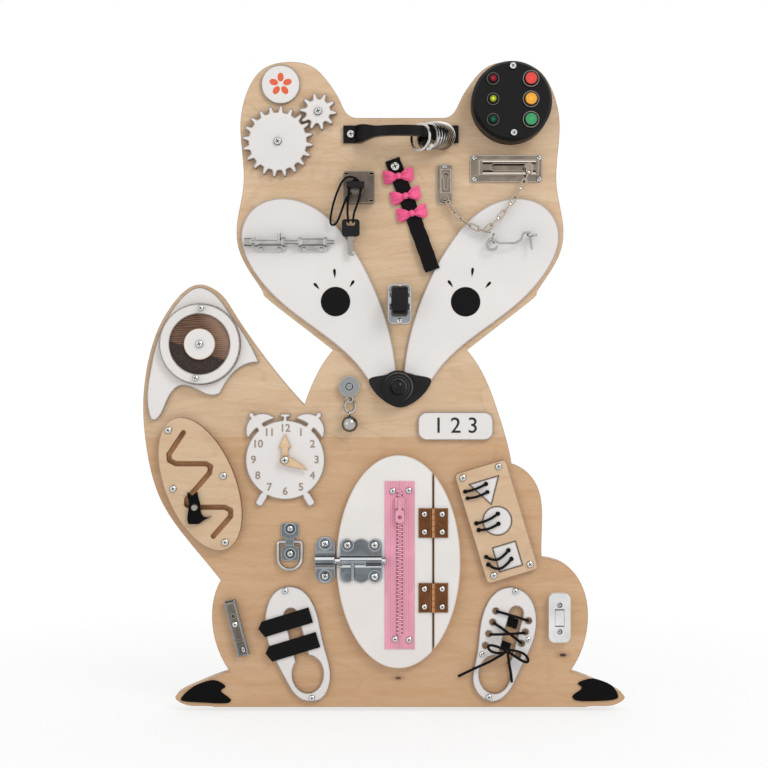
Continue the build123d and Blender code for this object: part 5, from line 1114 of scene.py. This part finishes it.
class BUSYBOARD_OT_cords(bpy.types.Operator):
    """Elastic cord of the keys, laces of the shapes and of the shoe"""

    bl_idname = "busyboard.cords"
    bl_label = "Cords and laces"

    def execute(self, context):
        elastic = cloth("elastic_cord", srgb(13, 13, 14), 1.1, 45, 2.0, 0.6, 0.02, 0.12)
        for name, points in (("key_cord_pair", PAIR), ("key_cord_loop", LOOP)):
            free_cord(
                name, points, 2.2, "hanging_key", elastic, "key_cord", far_end="object", lay="hanging",
            )
        lace = cloth("round_lace", srgb(11, 11, 12), 1.3, 45, 2.2, 0.6, 0.02, 0.1)
        for k, points in enumerate(LACES):
            ends = "object" if k < 5 else "bare"
            free_cord(
                "shoe_lace_%d" % k, points, LACE, "board", lace, "shoe_lace", far_end=ends, lay="loose",
            )
        form = bmesh.new()
        for cx, cz, high in ((-1.2, 14.2, 5.6), (-2.6, -10.3, 5.0)):
            corners = ((-6.6, -high + 1), (6.4, -high), (6.6, high - 1.4), (-6.2, high))
            outline = [turned(cx + dx, cz + dz, SHOE_TILT, SHOE) for dx, dz in corners]
            plate(form, outline, FRONT + 0.05, 1.9)
        felt = cloth("tongue_felt", srgb(12, 11, 12), 0.8, 20, 1.8, 0.4, 0.0, 0.1)
        from_bmesh("shoe_tongue", form, "board", felt)
        for kind, spans in SHAPE_CORDS.items():
            for k, ((x0, z0), (x1, z1), sag) in enumerate(spans):
                face = SHAPES_FRONT + 1.7
                points = [(x0, -face, z0)]
                points += [(x0 + (x1 - x0) * t, -face - 1.7, z0 + (z1 - z0) * t - sag) for t in (0.3, 0.7)]
                points.append((x1, -face, z1))
                self.short_lace("%s_lace_%d" % (kind, k), points, kind, lace)
        return {"FINISHED"}

    def short_lace(self, name, points, kind, lace):
        """A lace too short to be a free cord: a bent tube from the plate to the shape, with its knots."""
        tube(name, points, LACE, kind, lace, kind + "_cords")
        lump = ((0, -1.9), (1.5, -1.5), (2.3, -0.5), (1.9, 0.1), (2.2, 0.8), (1.3, 1.7), (0, 2.0))
        form = bmesh.new()
        for end in (0, -1):
            x, y, z = points[end]
            turn = Matrix.Rotation(0.7 * end + x, 4, "X")
            spun(form, lump, 12, Matrix.Translation(at(x, -y - 0.9, z)) @ turn)
        from_bmesh(name + "_knots", form, kind, lace, 60)


# ------------------------------------------------------------------ strap with ribbon bows


STRAP_SCREW = (-5.0, 540.0)
STRAP_TILT = 19.8
STRAP_START, STRAP_LONG = -7.8, 118     # along the strap from its screw, mm
STRAP_HALF, STRAP_THICK = 7.5, 2.2


def strap_point(along, across, depth):
    """A place on the strap: down from its screw, and to its right."""
    x, z = turned(across, -along, STRAP_TILT, STRAP_SCREW)
    return at(x, depth, z)


def strap_back(along):
    """Depth of the strap's back, which steps up over the eye plate."""
    share = min(1.0, max(0.0, (along - STRAP_START - 72) / 16))
    return FRONT + 0.3 + 4.0 * share


class BUSYBOARD_OT_strap(bpy.types.Operator):
    """Black hook-and-loop strap with three pink ribbon bows"""

    bl_idname = "busyboard.strap"
    bl_label = "Strap and bows"

    def execute(self, context):
        form = bmesh.new()
        half, thick = STRAP_HALF, STRAP_THICK
        rows = []
        count = 60
        for k in range(count + 1):
            along = STRAP_START + STRAP_LONG * k / count
            wave = 0.18 * math.sin(along * 0.35) + 0.12 * math.sin(along * 0.81 + 1)
            low = strap_back(along)
            sides = [(-half, low), (-half, low + thick * 0.8), (-half + 0.7, low + thick), (0, low + thick),
                     (half - 0.7, low + thick), (half, low + thick * 0.8), (half, low), (0, low)]
            rows.append([form.verts.new(strap_point(along, a + wave, d)) for a, d in sides])
        skin(form, rows)
        form.faces.new(rows[0])
        form.faces.new(rows[-1])
        tape = cloth("loop_tape", srgb(15, 13, 13), 0.9, -70, 2.2, 0.9, 0.02, 0.1)
        strap = from_bmesh("strap", form, "bow_strap", tape)
        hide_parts("bow_strap")
        satin = self.satin(tuple(context.scene.board_look.ribbon))
        for k, (along, tilt) in enumerate(((10.2, 8), (31.2, 14), (49.7, 11))):
            self.ribbon_bow("ribbon_bow_%d" % (k + 1), along, tilt, satin)
        return {"FINISHED"}

    def satin(self, colour):
        """Satin with fine level lines, and painted sheen and painted shade in soft random spots."""
        shade = Shade("satin_ribbon", Sheen_Weight=0.2)
        x, _, z = shade.place()
        lines = ((z + x * 0.2) * (2 * math.pi / 0.7)).sin() * 0.5 + 0.5
        soft = shade.noise((1, 1, 1), 0.25, 3.0, 0.6)
        # painted sheen and painted shade in soft random spots
        sheen_and_shade_patches = shade.step(soft * 0.8 + lines * 0.2, 0.36, 0.5)
        shade.put("Base Color", shade.mix(sheen_and_shade_patches, times(colour, 0.72), times(colour, 1.2)))
        shade.put("Roughness", 0.42 + soft * 0.2)
        shade.bump(lines, 0.25, 0.0002)
        return shade

    def ribbon_bow(self, name, along, tilt, satin):
        """Two puffed loops, two short tails and a knot, as one folded ribbon."""
        form = bmesh.new()
        centre = turned(0, -along, STRAP_TILT, STRAP_SCREW)
        low = strap_back(along) + STRAP_THICK
        for side in (-1, 1):
            for start, end, half, puff, drop in ((1.6, 15.2, 6.4, 5.2, 1.8), (1.2, 13.0, 4.6, 1.3, -4.5)):
                rows = []
                for i in range(9):
                    t = i / 8
                    reach = start + (end - start) * t
                    wide = 1.6 + (half - 1.6) * math.sin(min(1.0, t * 1.25) * math.pi / 2)
                    swell = puff * math.sin(math.pi * min(1.0, 0.15 + 0.85 * t) ** 0.9)
                    row = []
                    for u in (j / 8 - 1 for j in range(17)):
                        pleats = 0.6 * math.cos(u * 10 + side) * (1 - 0.4 * t)
                        crease = 2.2 * math.exp(-(u * 4) ** 2) * (1 - 0.7 * t)
                        lift = swell * (1 - 0.35 * u * u) + pleats - crease
                        x, z = turned(side * reach, u * wide + drop * t * 0.5, tilt, centre)
                        row.append(form.verts.new(at(x, low + 0.4 + max(0.0, lift), z)))
                    rows.append(row)
                skin(form, rows, around=False)
        bmesh.ops.recalc_face_normals(form, faces=form.faces)
        bmesh.ops.solidify(form, geom=form.faces, thickness=0.5 * MM)
        turn = Matrix.Rotation(-math.radians(tilt), 4, "Y")
        knot = Matrix.Translation(at(centre[0], low, centre[1])) @ turn
        spun(form, [(0, 0), (3.0, 0.3), (3.4, 2.6), (2.6, 4.8), (0, 5.6)], 16, knot)
        from_bmesh(name, form, "bow_strap", satin, 60, outward=False)


# ------------------------------------------------------------------ zip


ZIP_X = -0.4
ZIP_TOP, ZIP_LONG = 227.0, 168.0
ZIP_LOW = ZIP_TOP - ZIP_LONG
TOOTH = (
    (-3.0, -0.45), (-2.4, -0.65), (0.4, -0.5), (1.0, -0.75), (1.5, -0.4), (1.5, 0.4), (1.0, 0.75),
    (0.4, 0.5), (-2.4, 0.65), (-3.0, 0.45),
)
TEETH, TOOTH_PITCH = 76, 1.9


class BUSYBOARD_OT_zip(bpy.types.Operator):
    """Pink zip: two ribbed tapes with pinked ends, and a row of meshed teeth"""

    bl_idname = "busyboard.zip"
    bl_label = "Zip"

    def execute(self, context):
        pink = tuple(context.scene.board_look.pink)
        form = bmesh.new()
        inner, outer, nicks = 0.25, 14.8, 12
        for side in (-1, 1):
            top, bottom = [], []
            for k in range(nicks + 1):
                x = ZIP_X + side * (inner + (outer - inner) * k / nicks)
                nick = 1.3 if k % 2 else 0.0
                top.append((x, ZIP_TOP - nick))
                bottom.append((x, ZIP_LOW + nick))
            plate(form, top + bottom[::-1], DOOR_FRONT, 0.9)
            left, right = ZIP_X + side * 9.0, ZIP_X + side * 9.5
            high, low = ZIP_TOP - 2, ZIP_LOW + 2
            fold = [(left, high), (right, high), (right, low), (left, low)]
            plate(form, fold, DOOR_FRONT + 0.9, 0.12)
        tape = from_bmesh("zip_tapes", form, "door", self.tape(pink))
        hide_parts("zip_tape")
        form = bmesh.new()
        for k in range(TEETH):
            z = ZIP_LOW + 15 + TOOTH_PITCH * k
            side = 1 if k % 2 else -1
            plate(form, [(ZIP_X + side * x, z + dz) for x, dz in TOOTH], DOOR_FRONT + 0.8, 1.8)
        teeth = moulded("zip_tooth_pink", times(pink, 1.12), 0.3, 0.2)
        from_bmesh("zip_teeth", form, "door", teeth)
        slider = moulded("zip_slider_pink", times(pink, 0.85), 0.3, 0.3, Coat_Weight=0.3)
        dress(slider, "zip_slider")
        return {"FINISHED"}

    def tape(self, pink):
        """Twilled tape with a few ribs along it, a painted highlight in long soft spots, and painted shade
        under the row of teeth.
        """
        shade = Shade("zip_cloth", Sheen_Weight=0.15, Sheen_Roughness=0.5, Specular_IOR_Level=0.3)
        x, _, z = shade.place()
        across = abs(x - ZIP_X)
        ribs = (across * (2 * math.pi / 2.45)).sin() * 0.5 + 0.5
        twill = ((z + across) * (2 * math.pi / 0.9)).sin() * 0.5 + 0.5
        fuzz = shade.noise((1, 1, 1), 1.4, 3.0, 0.6)
        fold_highlight = shade.noise((0.05, 0.2, 0.03), 1.0, 2.0, 0.5)
        woven = shade.step(ribs * 0.5 + fuzz * 0.3 + twill * 0.2, 0.2, 0.7)
        colour = shade.mix(woven, times(pink, 0.86), pink)
        # painted highlight on soft fold shapes
        colour = shade.mix(shade.step(fold_highlight, 0.45, 0.62) * 0.5, colour, times(pink, 1.2))
        shaded = (across < 3.3) * between(z, ZIP_LOW + 14.0, ZIP_TOP - 10.5)
        colour = shade.mix(shaded, colour, times(pink, 0.5))
        shade.put("Base Color", colour)
        shade.put("Roughness", 0.7 + fuzz * 0.2)
        shade.bump(ribs * 0.8 + twill * 0.2 + fuzz * 0.2, 0.6, 0.0005)
        return shade


# ------------------------------------------------------------------ straps of the shoe


class BUSYBOARD_OT_shoe_straps(bpy.types.Operator):
    """Two hook-and-loop straps with pointed tips"""

    bl_idname = "busyboard.shoe_straps"
    bl_label = "Shoe straps"

    def execute(self, context):
        tape = cloth("shoe_tape", srgb(13, 12, 12), 0.9, 17, 2.2, 0.9, 0.02, 0.1)
        dress(tape, "strap_upper", "strap_lower")
        return {"FINISHED"}


# ------------------------------------------------------------------ panel, registration, main


STEPS = (
    "stage", "wood", "paint", "metal", "plastic", "disc", "screws", "face", "figures", "cords", "strap",
    "zip", "shoe_straps",
)


class BUSYBOARD_PT_panel(bpy.types.Panel):
    """Lists the steps that dress the board"""

    bl_idname = "BUSYBOARD_PT_panel"
    bl_label = "Busy board"
    bl_space_type = "VIEW_3D"
    bl_region_type = "UI"
    bl_category = "Busy board"

    def draw(self, context):
        for step in STEPS:
            self.layout.operator("busyboard." + step)
        for name in ("wood_pale", "wood_deep", "white", "pink", "ribbon"):
            self.layout.prop(context.scene.board_look, name)
        for name in ("lens", "distance", "key_power", "sky"):
            self.layout.prop(context.scene.board_stage, name)


CLASSES = (
    BoardLook, StageLook, BUSYBOARD_OT_stage, BUSYBOARD_OT_wood, BUSYBOARD_OT_paint, BUSYBOARD_OT_metal,
    BUSYBOARD_OT_plastic, BUSYBOARD_OT_disc, BUSYBOARD_OT_screws, BUSYBOARD_OT_face, BUSYBOARD_OT_figures,
    BUSYBOARD_OT_cords, BUSYBOARD_OT_strap, BUSYBOARD_OT_zip, BUSYBOARD_OT_shoe_straps, BUSYBOARD_PT_panel,
)


def register():
    for item in CLASSES:
        bpy.utils.register_class(item)
    bpy.types.Scene.board_look = bpy.props.PointerProperty(type=BoardLook)
    bpy.types.Scene.board_stage = bpy.props.PointerProperty(type=StageLook)


def unregister():
    del bpy.types.Scene.board_stage
    del bpy.types.Scene.board_look
    for item in reversed(CLASSES):
        bpy.utils.unregister_class(item)


def main():
    register()
    for step in STEPS:
        getattr(bpy.ops.busyboard, step)()
    bpy.context.view_layer.update()


if __name__ == "__main__":
    main()
